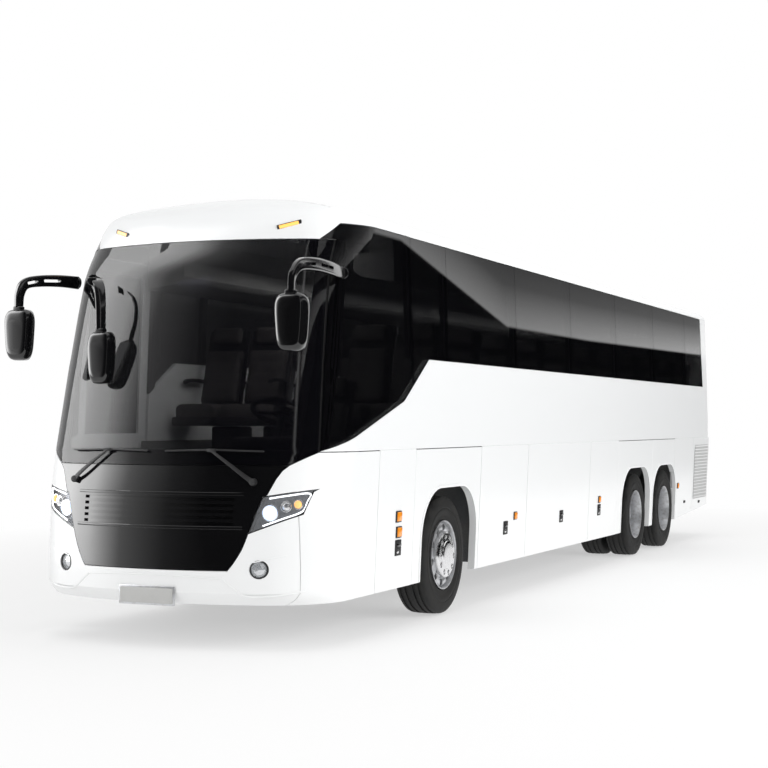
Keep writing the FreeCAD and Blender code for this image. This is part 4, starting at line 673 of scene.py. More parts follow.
def rake_at(z):
    share = min(max(z / NOSE_TOP_Z, RAKE_SHARES[0][0]), RAKE_SHARES[-1][0])
    index = max(i for i in range(len(RAKE_SHARES) - 1) if RAKE_SHARES[i][0] <= share)
    (low, near), (high, far) = RAKE_SHARES[index], RAKE_SHARES[index + 1]
    if index < 2:
        return NOSE_RAKE * (near + (far - near) * (share - low) / (high - low))
    slopes = []
    for i in (index, index + 1):
        before, after = RAKE_SHARES[max(i - 1, 2)], RAKE_SHARES[min(i + 1, len(RAKE_SHARES) - 1)]
        slopes.append((after[1] - before[1]) / (after[0] - before[0]))
    span, t = high - low, (share - low) / (high - low)
    curve = near * (2 * t**3 - 3 * t**2 + 1) + far * (3 * t**2 - 2 * t**3)
    return NOSE_RAKE * (curve + span * slopes[0] * (t**3 - 2 * t**2 + t) + span * slopes[1] * (t**3 - t**2))


def nose_arcs(z):
    crown_x = NOSE_FRONT - rake_at(z) - CROWN_RADIUS
    reach = side_half(z) - CORNER_RADIUS
    corner_x = crown_x + math.sqrt((CROWN_RADIUS - CORNER_RADIUS) ** 2 - reach**2)
    return crown_x, corner_x, reach


def nose_x(y, z):
    """Where the nose's skin is, going forward at a given width and height."""
    crown_x, corner_x, reach = nose_arcs(z)
    join = CROWN_RADIUS * math.sin(math.atan2(reach, corner_x - crown_x))
    y = abs(y)
    if y <= join:
        return crown_x + math.sqrt(CROWN_RADIUS**2 - y**2)
    return corner_x + math.sqrt(max(CORNER_RADIUS**2 - (y - reach) ** 2, 0))


def nose_ring(z, steps):
    """Points round the nose at a height, from the left straight side over the front to the right one."""
    crown_x, corner_x, reach = nose_arcs(z)
    turn = math.atan2(reach, corner_x - crown_x)
    half = [(crown_x + CROWN_RADIUS * math.cos(turn * i / steps), CROWN_RADIUS * math.sin(turn * i / steps))
            for i in range(steps + 1)]
    for i in range(1, steps + 1):
        angle = turn + (math.pi / 2 - turn) * i / steps
        half.append((corner_x + CORNER_RADIUS * math.cos(angle), reach + CORNER_RADIUS * math.sin(angle)))
    side = side_half(z)
    half += [(corner_x + (NOSE_BACK - corner_x) * i / 6, side) for i in range(1, 7)]
    return [(x, y) for x, y in reversed(half)] + [(x, -y) for x, y in half[1:]]

print("nose at the middle:", [round(nose_x(0, z), 3) for z in (0.6, 1.3, 2.2, 3.0)])

# %% [markdown]
# A sheet of vertices becomes a piece like this: Blender makes a flat grid with the wanted rows and columns,
# each vertex is moved to its place on the surface, and a solidify modifier gives the sheet its thickness inward.

# %% Sheets on the nose
def sheet(name, rows):
    across, up = len(rows[0]), len(rows)
    piece = added("grid", name, x_subdivisions=across - 1, y_subdivisions=up - 1, size=2)
    for vertex in piece.data.vertices:
        column = round((vertex.co.x + 1) / 2 * (across - 1))
        row = round((vertex.co.y + 1) / 2 * (up - 1))
        vertex.co = rows[row][column]
    return piece


def thickened(piece, depth):
    outward(piece)
    ahead = piece.data.polygons[len(piece.data.polygons) // 2].normal.x > 0
    return outward(applied(piece, "SOLIDIFY", thickness=depth, offset=-1 if ahead else 1, use_even_offset=True))


def half_at(outline, z):
    """Half the width of an outline at a height, from its points going up."""
    for (low_y, low_z), (high_y, high_z) in zip(outline, outline[1:]):
        if low_z <= z <= high_z:
            return low_y + (high_y - low_y) * (z - low_z) / (high_z - low_z)
    return outline[-1][0] if z > outline[-1][1] else outline[0][0]


def heights(outline, spacing):
    """Heights from the foot to the top of an outline, closely spaced and on each of its points."""
    found = []
    for (_, low), (_, high) in zip(outline, outline[1:]):
        count = max(1, round((high - low) / spacing))
        found += [low + (high - low) * i / count for i in range(count)]
    return found + [outline[-1][1]]


def symmetric_sheet(name, outline, spacing, across):
    rows = []
    for z in heights(outline, spacing):
        half = half_at(outline, z)
        ys = [half - 2 * half * i / across for i in range(across + 1)]
        rows.append([(nose_x(y, z), y, z) for y in ys])
    return sheet(name, rows)


def finished_panel(piece, node, finish, edge, smooth=30):
    if edge:
        applied(piece, "BEVEL", width=edge, segments=2, limit_method="ANGLE", angle_limit=math.radians(50))
    return settle_as(even_normals(smoothed(piece, smooth)), node, finish, stands=True)

SEAM = 0.003
SCREEN_SIDE = [(0.978, 1.330), (1.142, WAIST_Z), (1.068, 3.025)]
SCREEN_OUTLINE = [(y - SEAM, z + shift) for (y, z), shift in zip(SCREEN_SIDE, (SEAM, 0, -SEAM))]
screen = symmetric_sheet("windscreen_smooth", SCREEN_OUTLINE, 0.035, 72)
finished_panel(thickened(screen, 0.006), "windscreen", screen_glass, 0)
print("windscreen faces:", len(screen.data.polygons))

# %% [markdown]
# The white panels round the windscreen have outlines that no plain grid can follow. They are cut from one smooth
# shell: a closed loft of the nose less a smaller one, met by prisms whose outlines are those of the panels.

# %% Shell and prisms
def inset_ring(z, steps, inset):
    ring = nose_ring(z, steps)
    crown_x, corner_x, reach = nose_arcs(z)
    moved = []
    for x, y in ring:
        away = abs(y) - reach
        if x <= corner_x:
            moved.append((x, math.copysign(abs(y) - inset, y)))
        elif away > 0 and math.hypot(x - corner_x, away) < CORNER_RADIUS + 0.001:
            share = 1 - inset / CORNER_RADIUS
            moved.append((corner_x + (x - corner_x) * share, math.copysign(reach + away * share, y)))
        else:
            share = 1 - inset / CROWN_RADIUS
            moved.append((crown_x + (x - crown_x) * share, y * share))
    return moved


def nose_loft(name, low, high, back, inset=0.0, steps=22, spacing=0.045):
    """The nose as a closed solid between two heights."""
    rows = []
    count = round((high - low) / spacing)
    for i in range(count + 1):
        z = low + (high - low) * i / count
        ring = inset_ring(z, steps, inset)
        ring = [(back, ring[0][1])] + ring[1:-1] + [(back, ring[-1][1])]
        rows.append([(x, y, z) for x, y in ring + ring[:1]])
    return outward(sheet(name, rows), MERGE, fill=True)


def prism(name, points, low, high, axis="X"):
    """A flat outline drawn out along X from (y, z) points, or along Y from (x, z) points."""
    piece = added("circle", name, vertices=len(points), radius=1, fill_type="NGON")
    for vertex, (u, v) in zip(piece.data.vertices, points):
        vertex.co = (low, u, v) if axis == "X" else (u, low, v)
    bpy.ops.object.mode_set(mode="EDIT")
    bpy.ops.mesh.select_all(action="SELECT")
    reach = (high - low, 0, 0) if axis == "X" else (0, high - low, 0)
    bpy.ops.mesh.extrude_region_move(TRANSFORM_OT_translate={"value": reach})
    return outward(piece)


def band(name, x0, x1, z0, z1, y0, y1):
    """A plain block between two stations, heights and widths."""
    return prism(name, [(x0, z0), (x1, z0), (x1, z1), (x0, z1)], y0, y1, "Y")


def grown(points, distance):
    """An outline with each edge moved outward, or inward for a negative distance."""
    area = sum(a[0] * b[1] - b[0] * a[1] for a, b in zip(points, points[1:] + points[:1]))
    sign = 1 if area > 0 else -1
    made = []
    for before, here, after in zip(points[-1:] + points[:-1], points, points[1:] + points[:1]):
        first = Vector((here[0] - before[0], here[1] - before[1])).normalized()
        second = Vector((after[0] - here[0], after[1] - here[1])).normalized()
        out_1, out_2 = Vector((first.y, -first.x)) * sign, Vector((second.y, -second.x)) * sign
        lean = max(1 + out_1.dot(out_2), 0.4)
        shift = (out_1 + out_2) * distance / lean
        made.append((here[0] + shift.x, here[1] + shift.y))
    return made


def mirrored(points):
    return [(-u, v) for u, v in reversed(points)]

inside = nose_loft("inside", 0.200, 1.600, 4.600, 0.040)
shell = keep(nose_loft("nose_shell", SKIRT_Z, WAIST_Z - SEAM, 4.700), inside, "DIFFERENCE")
MASK_SIDE = [
    (0.603, 0.578), (0.640, 0.626), (0.671, 0.676), (0.699, 0.728), (0.721, 0.785), (0.740, 0.843),
    (0.828, 1.109), (0.857, 1.122), (0.905, 1.233), (0.942, 1.295), (0.978, 1.327),
]
MASK_OUTLINE = MASK_SIDE + mirrored(MASK_SIDE)
LAMP_OUTLINE = [(0.740, 0.843), (1.084, 0.982), (1.133, 1.143), (1.162, 1.163), (0.828, 1.109)]
SCREEN_LOOP = SCREEN_SIDE + mirrored(SCREEN_SIDE)
FASCIA_TOP = [(1.5, 1.163), (1.162, 1.163), (0.828, 1.109)]
FASCIA_OUTLINE = [(-1.5, 0), (1.5, 0)] + FASCIA_TOP + mirrored(FASCIA_TOP)
print("shell faces:", len(shell.data.polygons))

# %% [markdown]
# The fascia lies round the mask and under the lamps. A step runs across it low down, where the bumper's lower part
# stands back a little, and each fog lamp sits in a round hole.

# %% Front fascia
def cut(panel, *loops):
    for loop in loops:
        keep(panel, prism("opening", grown(loop, SEAM), 5.0, 7.0), "DIFFERENCE")

LAMPS_AND_MASK = (LAMP_OUTLINE, mirrored(LAMP_OUTLINE), MASK_OUTLINE)

FOG_Y, FOG_Z = 0.823, 0.589
fascia = twin(shell, "front_fascia_smooth")
keep(fascia, prism("zone", FASCIA_OUTLINE, 6.315, 7.0))
cut(fascia, *LAMPS_AND_MASK)
for side in (1, -1):
    keep(fascia, added("cylinder", vertices=40, radius=0.067, depth=0.7, location=(6.4, side * FOG_Y, FOG_Z),
                       rotation=(0, math.pi / 2, 0)), "DIFFERENCE")
finished_panel(fascia, "front_fascia", white_paint, 0.003)
print("fascia faces:", len(fascia.data.polygons))

# %% [markdown]
# The corner panels run back from the fascia's seam to the first flap on the left and to the door on the right.

# %% Front corners
corners = twin(shell, "front_corners_smooth")
keep(corners, prism("zone", grown(FASCIA_OUTLINE, SEAM), 6.309, 7.0), "DIFFERENCE")
cut(corners, *LAMPS_AND_MASK, SCREEN_LOOP)
keep(corners, band("left_part", 4.5, 5.339, 0, 2, 0, 2), "DIFFERENCE")
keep(corners, band("right_part", 4.5, 5.751, 0, 2, -2, 0), "DIFFERENCE")
finished_panel(corners, "front_corners", white_paint, 0.003)
print("corner faces:", len(corners.data.polygons))

# %% [markdown]
# The mask is glossy and has five shallow louvres in its upper half.

# %% Front mask
mask_half = [(y - SEAM, z + (SEAM if z < 0.6 else 0)) for y, z in MASK_SIDE]
mask = thickened(symmetric_sheet("front_mask_smooth", mask_half, 0.022, 64), 0.030)
LOUVRE_PITCH = 0.044
for index in range(5):
    foot = 0.905 + LOUVRE_PITCH * index
    rows = []
    for z in (foot, foot + LOUVRE_PITCH / 4, foot + LOUVRE_PITCH / 2):
        rows.append([(nose_x(y, z) + 0.030, y, z) for y in [0.640 - 0.032 * i for i in range(41)]])
    keep(mask, thickened(sheet("louvre_cutter", rows), 0.048), "DIFFERENCE")
finished_panel(mask, "front_mask", gloss_black, 0.002)
print("mask faces:", len(mask.data.polygons))

# %% [markdown]
# The roof cap closes the nose over the windscreen. Its shell is the loft met by the roof's section,
# less the same pair a little smaller, and the windscreen's and the side band's outlines are then cut from it.

# %% Roof cap
def arc_between(first, last, bulge, steps):
    """Points along an arc from its ends and its height, the bulge upward."""
    (y0, z0), (y1, z1) = first, last
    chord = math.hypot(y1 - y0, z1 - z0)
    radius = (chord**2 / 4 + bulge**2) / (2 * bulge)
    normal = ((z0 - z1) / chord, (y1 - y0) / chord)
    if normal[1] < 0:
        normal = (-normal[0], -normal[1])
    middle = ((y0 + y1) / 2 - normal[0] * (radius - bulge), (z0 + z1) / 2 - normal[1] * (radius - bulge))
    start = math.atan2(z0 - middle[1], y0 - middle[0])
    end = math.atan2(z1 - middle[1], y1 - middle[0])
    return [(middle[0] + radius * math.cos(start + (end - start) * i / steps),
             middle[1] + radius * math.sin(start + (end - start) * i / steps)) for i in range(steps + 1)]


def roof_outline(inset):
    cant, edge = (WAIST_HALF - CANT_LEAN - inset, CANT_Z - inset), (1.060 - inset, 3.275 - inset)
    half = [(1.300, 2.500), (1.300, 3.158 - inset)] + arc_between(cant, edge, 0.028, 8)
    crown = arc_between(edge, (-edge[0], edge[1]), 0.150, 48)
    return half + crown[1:-1] + mirrored(half)

cap = keep(nose_loft("front_cap_smooth", 2.900, 3.430, 4.591, spacing=0.018), prism("roof", roof_outline(0), 4.0, 7.0))
inside = nose_loft("inside", 2.800, 3.420, 4.500, 0.050, spacing=0.03)
keep(cap, keep(inside, prism("roof", roof_outline(0.050), 4.0, 7.0)), "DIFFERENCE")
keep(cap, band("zone", 4.5, 7, 3.009, 3.5, -2, 2))
cut(cap, SCREEN_LOOP)
BAND_FRONT = [(4.0, 3.163), (4.0, 2.9), (6.030, 2.9), (6.000, 3.015), (5.825, 3.015), (5.630, 3.163)]
for y0, y1 in ((0.4, 2), (-2, -0.4)):
    keep(cap, prism("band", BAND_FRONT, y0, y1, "Y"), "DIFFERENCE")
finished_panel(cap, "front_cap", white_paint, 0.003)
bpy.data.objects.remove(shell)
print("cap faces:", len(cap.data.polygons))

# %% [markdown]
# Arms, blades and pads have one section carried along a path. Each step of the path gets a ring of points,
# a rounded rectangle between a round bar and a square one, and the rings become a closed sheet.

# %% Swept bars
def smooth_path(points, steps):
    """A smooth curve through some points."""
    points = [Vector(p) for p in points]
    padded = [2 * points[0] - points[1]] + points + [2 * points[-1] - points[-2]]
    path = []
    for a, b, c, d in zip(padded, padded[1:], padded[2:], padded[3:]):
        for i in range(steps):
            t = i / steps
            bend = (2 * a - 5 * b + 4 * c - d) * t**2 + (3 * b - a - 3 * c + d) * t**3
            path.append(0.5 * (2 * b + (c - a) * t + bend))
    return path + [points[-1]]


def rounded(angle, power):
    c, s = math.cos(angle), math.sin(angle)
    return math.copysign(abs(c) ** power, c), math.copysign(abs(s) ** power, s)


def swept(name, path, thin, half_thin, half_tall, ring=16, power=0.45):
    """A bar along a path; thin is the direction of its thin side, and its height may change along the way."""
    thin = Vector(thin).normalized()
    rows = []
    for index, point in enumerate(path):
        near, far = path[max(index - 1, 0)], path[min(index + 1, len(path) - 1)]
        tall = (far - near).normalized().cross(thin).normalized()
        high = half_tall(index / (len(path) - 1)) if callable(half_tall) else half_tall
        row = []
        for k in range(ring):
            u, v = rounded(2 * math.pi * k / ring, power)
            row.append(point + thin * (u * half_thin) + tall * (v * high))
        rows.append(row + row[:1])
    return smoothed(outward(sheet(name, rows), MERGE, fill=True), 38)

# %% [markdown]
# The mirrors hang from flat arms that start at the windscreen's upper corners. Each arm has two long slots,
# a foot plate on the body and a clamp over its head. The glass faces the rear and sits in a thin frame.

# %% Mirrors
MIRROR_HEIGHT, MIRROR_DEPTH, MIRROR_TAPER = 0.400, 0.110, 0.22
DOME = ((0, 0.965), (0.06, 1.0), (0.45, 1.0), (0.70, 0.97), (0.86, 0.90), (0.95, 0.79), (1.0, 0.60))


def shield(name, head, half_wide, steps, ring=48):
    """A sheet of rounded shield outlines, narrower toward their foot; each step is a forward place and a size."""
    rows = []
    for x, size in steps:
        row = []
        for k in range(ring):
            u, v = rounded(2 * math.pi * k / ring, 0.5)
            wide = half_wide * size * (1 - MIRROR_TAPER * (1 - v) / 2)
            row.append((x, head[0] + u * wide, head[1] + v * MIRROR_HEIGHT / 2 * size))
        rows.append(row + row[:1])
    return sheet(name, rows)


def mirror(name, path_points, thin, head, half_wide, rear_x):
    path = smooth_path(path_points, 9)
    arm = swept(name + "_arm", path, thin, 0.020, lambda share: 0.052 - 0.016 * share)
    for start, end in ((0.20, 0.36), (0.42, 0.58)):
        a, b = path[round(start * (len(path) - 1))], path[round(end * (len(path) - 1))]
        slot = added("cube", size=1, location=(a + b) / 2)
        slot.scale = ((b - a).length, 0.10, 0.022)
        aimed(slot, b - a, "X", "Z")
        bpy.ops.object.transform_apply(location=False, rotation=True, scale=True)
        keep(arm, applied(slot, "BEVEL", width=0.009, segments=3), "DIFFERENCE")
    smoothed(arm, 38)
    housing = shield(name + "_head", head, half_wide, [(rear_x + MIRROR_DEPTH * reach, size) for reach, size in DOME])
    smoothed(outward(housing, MERGE, fill=True), 50)
    foot = aimed(added("cylinder", vertices=28, radius=0.046, depth=0.018, location=path[0]), path[2] - path[0])
    smoothed(applied(foot, "BEVEL", width=0.006, segments=3))
    clamp_at = (rear_x + MIRROR_DEPTH / 2, head[0], head[1] + MIRROR_HEIGHT / 2 + 0.004)
    clamp = rounded_box("clamp", (0.060, 0.075, 0.034), clamp_at, 0.010)
    body = settle_as(joined(name, foot, clamp, housing, arm), "mirrors", gloss_black, stands=True)
    face = shield(name + "_glass", head, half_wide, [(rear_x - 0.0015, size) for size in (0.90, 0.45, 0.02)])
    settle_as(thickened(face, 0.001), "mirrors", mirror_silver)
    return body

left_mirror = mirror(
    "mirror_left", [(5.800, 1.165, 2.762), (6.150, 1.235, 2.766), (6.550, 1.300, 2.756), (6.850, 1.332, 2.725),
                    (6.985, 1.342, 2.640), (7.005, 1.342, 2.535)],
    (0.16, -1, 0), (1.340, 2.320), 0.125, 6.950)
mirror(
    "mirror_right", [(5.835, -1.165, 2.762), (5.990, -1.235, 2.766), (6.180, -1.300, 2.752), (6.310, -1.332, 2.720),
                     (6.365, -1.342, 2.640), (6.378, -1.342, 2.535)],
    (0.33, 0.94, 0), (-1.340, 2.320), 0.125, 6.323)
mirror(
    "mirror_kerb", [(6.010, -0.905, 2.762), (6.110, -0.860, 2.768), (6.240, -0.740, 2.755), (6.350, -0.630, 2.705),
                    (6.405, -0.572, 2.560), (6.418, -0.560, 2.345)],
    (0.72, 0.69, 0), (-0.560, 2.130), 0.110, 6.363)
print("mirror faces:", len(left_mirror.data.polygons))

# %% [markdown]
# Each wiper has a pivot cap in the mask, a tapered arm that leans over the glass, and a slim blade:
# a metal back with a rubber lip. The blades rest level along the foot of the windscreen.

# %% Wipers
def over_nose(y, z, stand):
    return Vector((nose_x(y, z) + stand, y, z))


def along_nose(points, stand):
    """A smooth path over the nose through points given across and up."""
    return [over_nose(point.y, point.z, stand) for point in smooth_path([(0, y, z) for y, z in points], 8)]

for hand, side in HANDS:
    back_path = [over_nose(side * (0.075 + 0.735 * i / 24), 1.444 - 0.010 * abs(i - 12) / 12, 0.022) for i in range(25)]
    lip_path = [point + Vector((-0.011, 0, -0.001)) for point in back_path]
    blade = swept(f"wiper_{hand}_back", back_path, (0, 0, 1), 0.006, 0.009, ring=10)
    lip = swept(f"wiper_{hand}_lip", lip_path, (0, 0, 1), 0.003, 0.010, ring=8)
    bends = ((0.758, 1.216, 0.026), (0.690, 1.268, 0.040), (0.560, 1.360, 0.040), (0.440, 1.440, 0.036))
    arm_path = smooth_path([over_nose(side * y, z, stand) for y, z, stand in bends], 8)
    arm = swept(f"wiper_{hand}_arm", arm_path, (1, 0, 0.2), 0.006, lambda share: 0.019 - 0.010 * share, ring=12)
    pivot = added("cylinder", vertices=28, radius=0.026, depth=0.046, location=over_nose(side * 0.760, 1.215, 0.016),
                  rotation=(0, math.pi / 2, 0))
    smoothed(applied(pivot, "BEVEL", width=0.006, segments=3))
    hold = rounded_box("hold", (0.022, 0.070, 0.024), over_nose(side * 0.442, 1.440, 0.030), 0.004, 2)
    settle_as(joined(f"wiper_{hand}", lip, arm, pivot, hold, blade), "wipers", matt_black, stands=True)
print("wipers made")

# %% [markdown]
# A headlamp has a clear cover that carries on the nose's curve, a thin dark wall behind its edge, a grey bowl,
# a lit strip round its rim, a large projector, a ring lens and an amber one. The cover's edge is a thin dark line.

# %% Headlamps
def layer(name, outer, inner, low=0.80, high=1.20):
    """A thin layer of the nose's shell between two depths."""
    return keep(nose_loft(name, low, high, 5.400, outer, spacing=0.02),
                nose_loft("inside", low - 0.1, high + 0.1, 5.300, inner), "DIFFERENCE")

STRIP_POINTS = [
    (0.870, 1.096), (0.990, 1.117), (1.110, 1.130), (1.100, 1.070), (1.072, 1.000), (0.960, 0.950), (0.835, 0.900),
]
EYES = (
    ("projector", 0.869, 0.991, 0.054, lit_projector), ("ring", 0.971, 1.037, 0.032, zinc_bright),
    ("amber", 1.042, 1.052, 0.028, lit_amber),
)
for hand, side in HANDS:
    loop = LAMP_OUTLINE if side > 0 else mirrored(LAMP_OUTLINE)

    def zone(shrink):
        return prism("zone", grown(loop, -shrink), 5.6, 6.7)

    cover = keep(layer(f"headlamp_{hand}_cover", 0.0, 0.004), zone(0.004))
    bowl = keep(layer(f"headlamp_{hand}_bowl", 0.050, 0.056), zone(0.002))
    wall = keep(keep(layer(f"headlamp_{hand}_wall", 0.002, 0.052), zone(0.0)), zone(0.005), "DIFFERENCE")
    strip = swept(f"headlamp_{hand}_strip", along_nose([(side * y, z) for y, z in STRIP_POINTS], -0.012), (1, 0, 0),
                  0.005, 0.006, ring=8)
    for kind, y, z, radius, finish in EYES:
        spot = over_nose(side * y, z, -0.034)
        ball = added("uv_sphere", f"headlamp_{hand}_{kind}", segments=32, ring_count=16, radius=radius, location=spot)
        ball.scale = (0.55, 1, 1)
        ring = added("torus", ball.name + "_ring", major_segments=40, minor_segments=10, major_radius=radius + 0.004,
                     minor_radius=0.006, location=spot)
        settle_as(rounded_off(ball), "front_lamps", finish)
        settle_as(rounded_off(aimed(ring, Vector((1, side * 0.25 * y, 0)))), "front_lamps", zinc_bright)
    for part, finish in ((cover, lamp_cover), (bowl, lamp_bowl), (wall, gloss_black), (strip, lit_strip)):
        settle_as(smoothed(part, 30), "front_lamps", finish)
    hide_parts("front_lamps")
print("headlamps made")

# %% [markdown]
# The fog lamps are round: a bright faceted reflector under a clear dome, in a thin collar.

# %% Fog lamps
for hand, side in HANDS:
    spot = over_nose(side * FOG_Y, FOG_Z, 0)
    aim = Vector((1, side * 0.42, 0)).normalized()
    label = f"fog_lamp_{hand}_"
    reflector = added("ico_sphere", label + "reflector", subdivisions=2, radius=0.055, location=spot - aim * 0.030)
    dome = added("uv_sphere", label + "dome", segments=32, ring_count=16, radius=0.060, location=spot - aim * 0.018)
    collar = added("torus", label + "collar", major_segments=44, minor_segments=10, major_radius=0.062,
                   minor_radius=0.0045, location=spot - aim * 0.006)
    reflector.scale = dome.scale = (1, 1, 0.35)
    settle_as(aimed(reflector, aim), "front_lamps", zinc_bright)
    settle_as(rounded_off(aimed(dome, aim)), "front_lamps", clear_acrylic, stands=True)
    settle_as(rounded_off(aimed(collar, aim)), "front_lamps", matt_black)
print("fog lamps made")

# %% [markdown]
# Along the sides sit small fittings: amber marker lamps, square latches, oval latches near the tail, and a raised
# lip round each wheel arch. Whatever sits on a flap rides with that flap, so it swings out when the flap opens.

# %% Small fittings
def side_at(x, z):
    """How far out the side's skin is at a place and height."""
    crown_x, corner_x, reach = nose_arcs(z)
    if x <= corner_x:
        return side_half(z)
    return reach + math.sqrt(CORNER_RADIUS**2 - (x - corner_x) ** 2)


def on_side(name, x, z, side, body, parts):
    """Boxes laid on the side's skin; each part is a width, a height, a depth, a shift along and up, and a finish."""
    lean = math.atan2(side_at(x, z - 0.1) - side_at(x, z + 0.1), 0.2)
    turn = math.atan2(side_at(x - 0.1, z) - side_at(x + 0.1, z), 0.2)
    skin = Matrix.Translation((x, side * (side_at(x, z) + 0.001), z))
    tilt = Matrix.Rotation(-side * turn, 4, "Z") @ Matrix.Rotation(side * lean, 4, "X")
    for index, (width, height, depth, along, up, finish) in enumerate(parts):
        edge = min(width, height, depth) * 0.35
        piece = rounded_box(f"{name}_{index}", (width, depth, height), (along, depth * 0.25, up), edge)
        piece.data.transform(Matrix.Scale(side, 4, (0, 1, 0)) @ Matrix.Translation(piece.location))
        outward(piece).matrix_world = skin @ tilt
        settle(piece, body, finish)

AMBER_LAMP = [(0.104, 0.092, 0.014, 0, 0, matt_black), (0.088, 0.076, 0.026, 0, 0, amber_acrylic)]
SMALL_LAMP = [(0.088, 0.078, 0.012, 0, 0, matt_black), (0.074, 0.064, 0.024, 0, 0, amber_acrylic)]
LATCH = [
    (0.112, 0.126, 0.010, 0, 0, matt_black), (0.088, 0.030, 0.022, 0, 0.022, gloss_black),
    (0.030, 0.030, 0.020, 0.018, -0.030, zinc_bright),
]
OVAL_LATCH = [(0.095, 0.036, 0.010, 0, 0, matt_black), (0.060, 0.018, 0.018, 0, 0, gloss_black)]
FLAP_ITEMS = ((2.000, 0.748, SMALL_LAMP), (2.277, 0.648, LATCH))
LOCKER_ITEMS = ((-4.956, 0.784, SMALL_LAMP), (-5.400, 0.545, OVAL_LATCH))
FITTINGS = (
    ("locker_flap_left", 1, ((4.921, 0.897, AMBER_LAMP), (4.906, 0.773, AMBER_LAMP), (4.906, 0.649, LATCH))),
    ("luggage_flap_left_1", 1, FLAP_ITEMS),
    ("luggage_flap_left_2", 1, ((0.474, 0.660, LATCH),)),
    ("luggage_flap_left_3", 1, ((-0.993, 0.771, SMALL_LAMP), (-0.991, 0.654, LATCH))),
    ("rear_locker_left", 1, LOCKER_ITEMS),
    ("engine_flap_left", 1, ((-6.350, 0.505, OVAL_LATCH),)),
    ("luggage_flap_right_1", -1, FLAP_ITEMS),
    ("luggage_flap_right_2", -1, ((0.474, 0.660, LATCH),)),
    ("rear_locker_right", -1, LOCKER_ITEMS),
    ("engine_flap_right", -1, ((-6.350, 0.505, OVAL_LATCH),)),
)
for node, side, items in FITTINGS:
    for index, (x, z, parts) in enumerate(items):
        on_side(f"{node}_fitting_{index}", x, z, side, body_of[node], parts)
print("side fittings:", sum(len(items) for _, _, items in FITTINGS))

# %% [markdown]
# The wheel-arch lips follow the openings: up one side, round the corner, along the top and down again.

# %% Arch lips
ARCH_FOOT_Z, ARCH_SPRING_Z, ARCH_RADIUS = 0.330, 0.682, 0.42


def arch_lip(name, rear, front, side):
    outline = [(rear, z) for z in (ARCH_FOOT_Z, 0.500, 0.650)]
    arc = [(ARCH_RADIUS * math.cos(i * math.pi / 24), ARCH_RADIUS * math.sin(i * math.pi / 24)) for i in range(13)]
    outline += [(rear + ARCH_RADIUS - c, ARCH_SPRING_Z + s) for c, s in arc]
    outline += [(front - ARCH_RADIUS + s, ARCH_SPRING_Z + c) for c, s in arc]
    outline += [(front, z) for z in (0.650, 0.500, ARCH_FOOT_Z)]
    path = [Vector((x, side * (side_at(x, z) + 0.002), z)) for x, z in outline]
    settle(swept(name, path, (0, side, 0), 0.0055, 0.013, ring=10), "coach", white_paint)

for hand, side in HANDS:
    for label, rear, front in (("front", 3.091, 4.421), ("drive", -3.386, -1.976), ("tag", -4.828, -3.522)):
        arch_lip(f"arch_lip_{label}_{hand}", rear, front, side)
print("arch lips made, riding with", body_of["side_walls"])

# %% [markdown]
# A narrow panel closes the side behind the front door, from the skirt to the waist.

# %% Door side panel
zs = [SKIRT_Z + (WAIST_Z - SKIRT_Z) * i / 12 for i in range(13)]
rows = [[(x, -side_at(x, z), z) for x in (4.704, 4.665, 4.628, 4.592)] for z in zs]
door_side = settle(thickened(sheet("door_side_panel", rows), 0.022), "coach", white_paint)
print("door side panel faces:", len(door_side.data.polygons))

# %% [markdown]
# On the front, a fold line runs low across the bumper and a shorter one passes each fog lamp. The plate holder
# in the middle is left blank. A short row of amber cells sits at each of the roof cap's corners.

# %% Front trim
def fold(name, points, half_thin=0.004, half_tall=0.006, finish=white_paint, stand=0.001):
    bar = swept(name, along_nose(points, stand), (1, 0, 0), half_thin, half_tall, ring=10)
    settle(bar, "coach", finish)

LOW_FOLD = [(0.561, 0.521), (0.640, 0.458), (0.717, 0.406), (0.817, 0.396), (0.990, 0.410), (1.100, 0.432)]
FOG_FOLD = [(0.782, 0.640), (0.843, 0.655), (0.927, 0.674), (0.999, 0.689)]
for hand, side in HANDS:
    fold("bumper_fold_" + hand, [(side * y, z) for y, z in LOW_FOLD])
fold("bumper_fold_middle", [(-0.561, 0.521), (-0.30, 0.535), (0.0, 0.540), (0.30, 0.535), (0.561, 0.521)])
for hand, side in HANDS:
    fold("fog_fold_" + hand, [(side * y, z) for y, z in FOG_FOLD], 0.003, 0.004)
plate_x = nose_x(0.24, 0.45) + 0.012
for name, wide, high, lift, finish in (
    ("plate_holder", 0.470, 0.140, 0.0, silver_enamel), ("plate_blank", 0.440, 0.112, 0.009, pale_rack)):
    plate = rounded_box(name, (0.016, wide, high), (plate_x + lift, -0.015, 0.388), 0.005)
    settle(plate, "coach", finish)
for name, z in (("mask_ridge_high", 1.128), ("mask_ridge_low", 0.884)):
    fold(name, [(y, z) for y in (-0.700, -0.35, 0.0, 0.35, 0.700)], 0.007, 0.011, gloss_black, stand=-0.002)
for hand, side in HANDS:
    marker = [(side * (0.662 + 0.0159 * i), 3.116 + 0.0048 * i) for i in range(11)]
    fold(f"roof_marker_{hand}", marker, 0.008, 0.020, matt_black)
    for index in range(4):
        cell = marker[1 + 2 * index:4 + 2 * index]
        fold(f"roof_marker_{hand}_cell_{index}", cell, 0.006, 0.013, lit_amber, stand=0.006)
print("front trim made")

# %% [markdown]
# The tail carries round lamps in a column at each side, louvres in the engine hatch over its air outlet,
# a handle, and reflectors in the bumper. The hatch's own details ride with the hatch.

# %% Tail
def tail_x(y):
    """How far forward the tail's bowed skin is at a place across."""
    return -7.060 + y * y / 12


def blades(name, paths, thin, half_thin, half_tall, body, finish):
    bars = [swept("blade", path, thin, half_thin, half_tall, ring=8) for path in paths]
    settle(joined(name, *bars), body, finish)

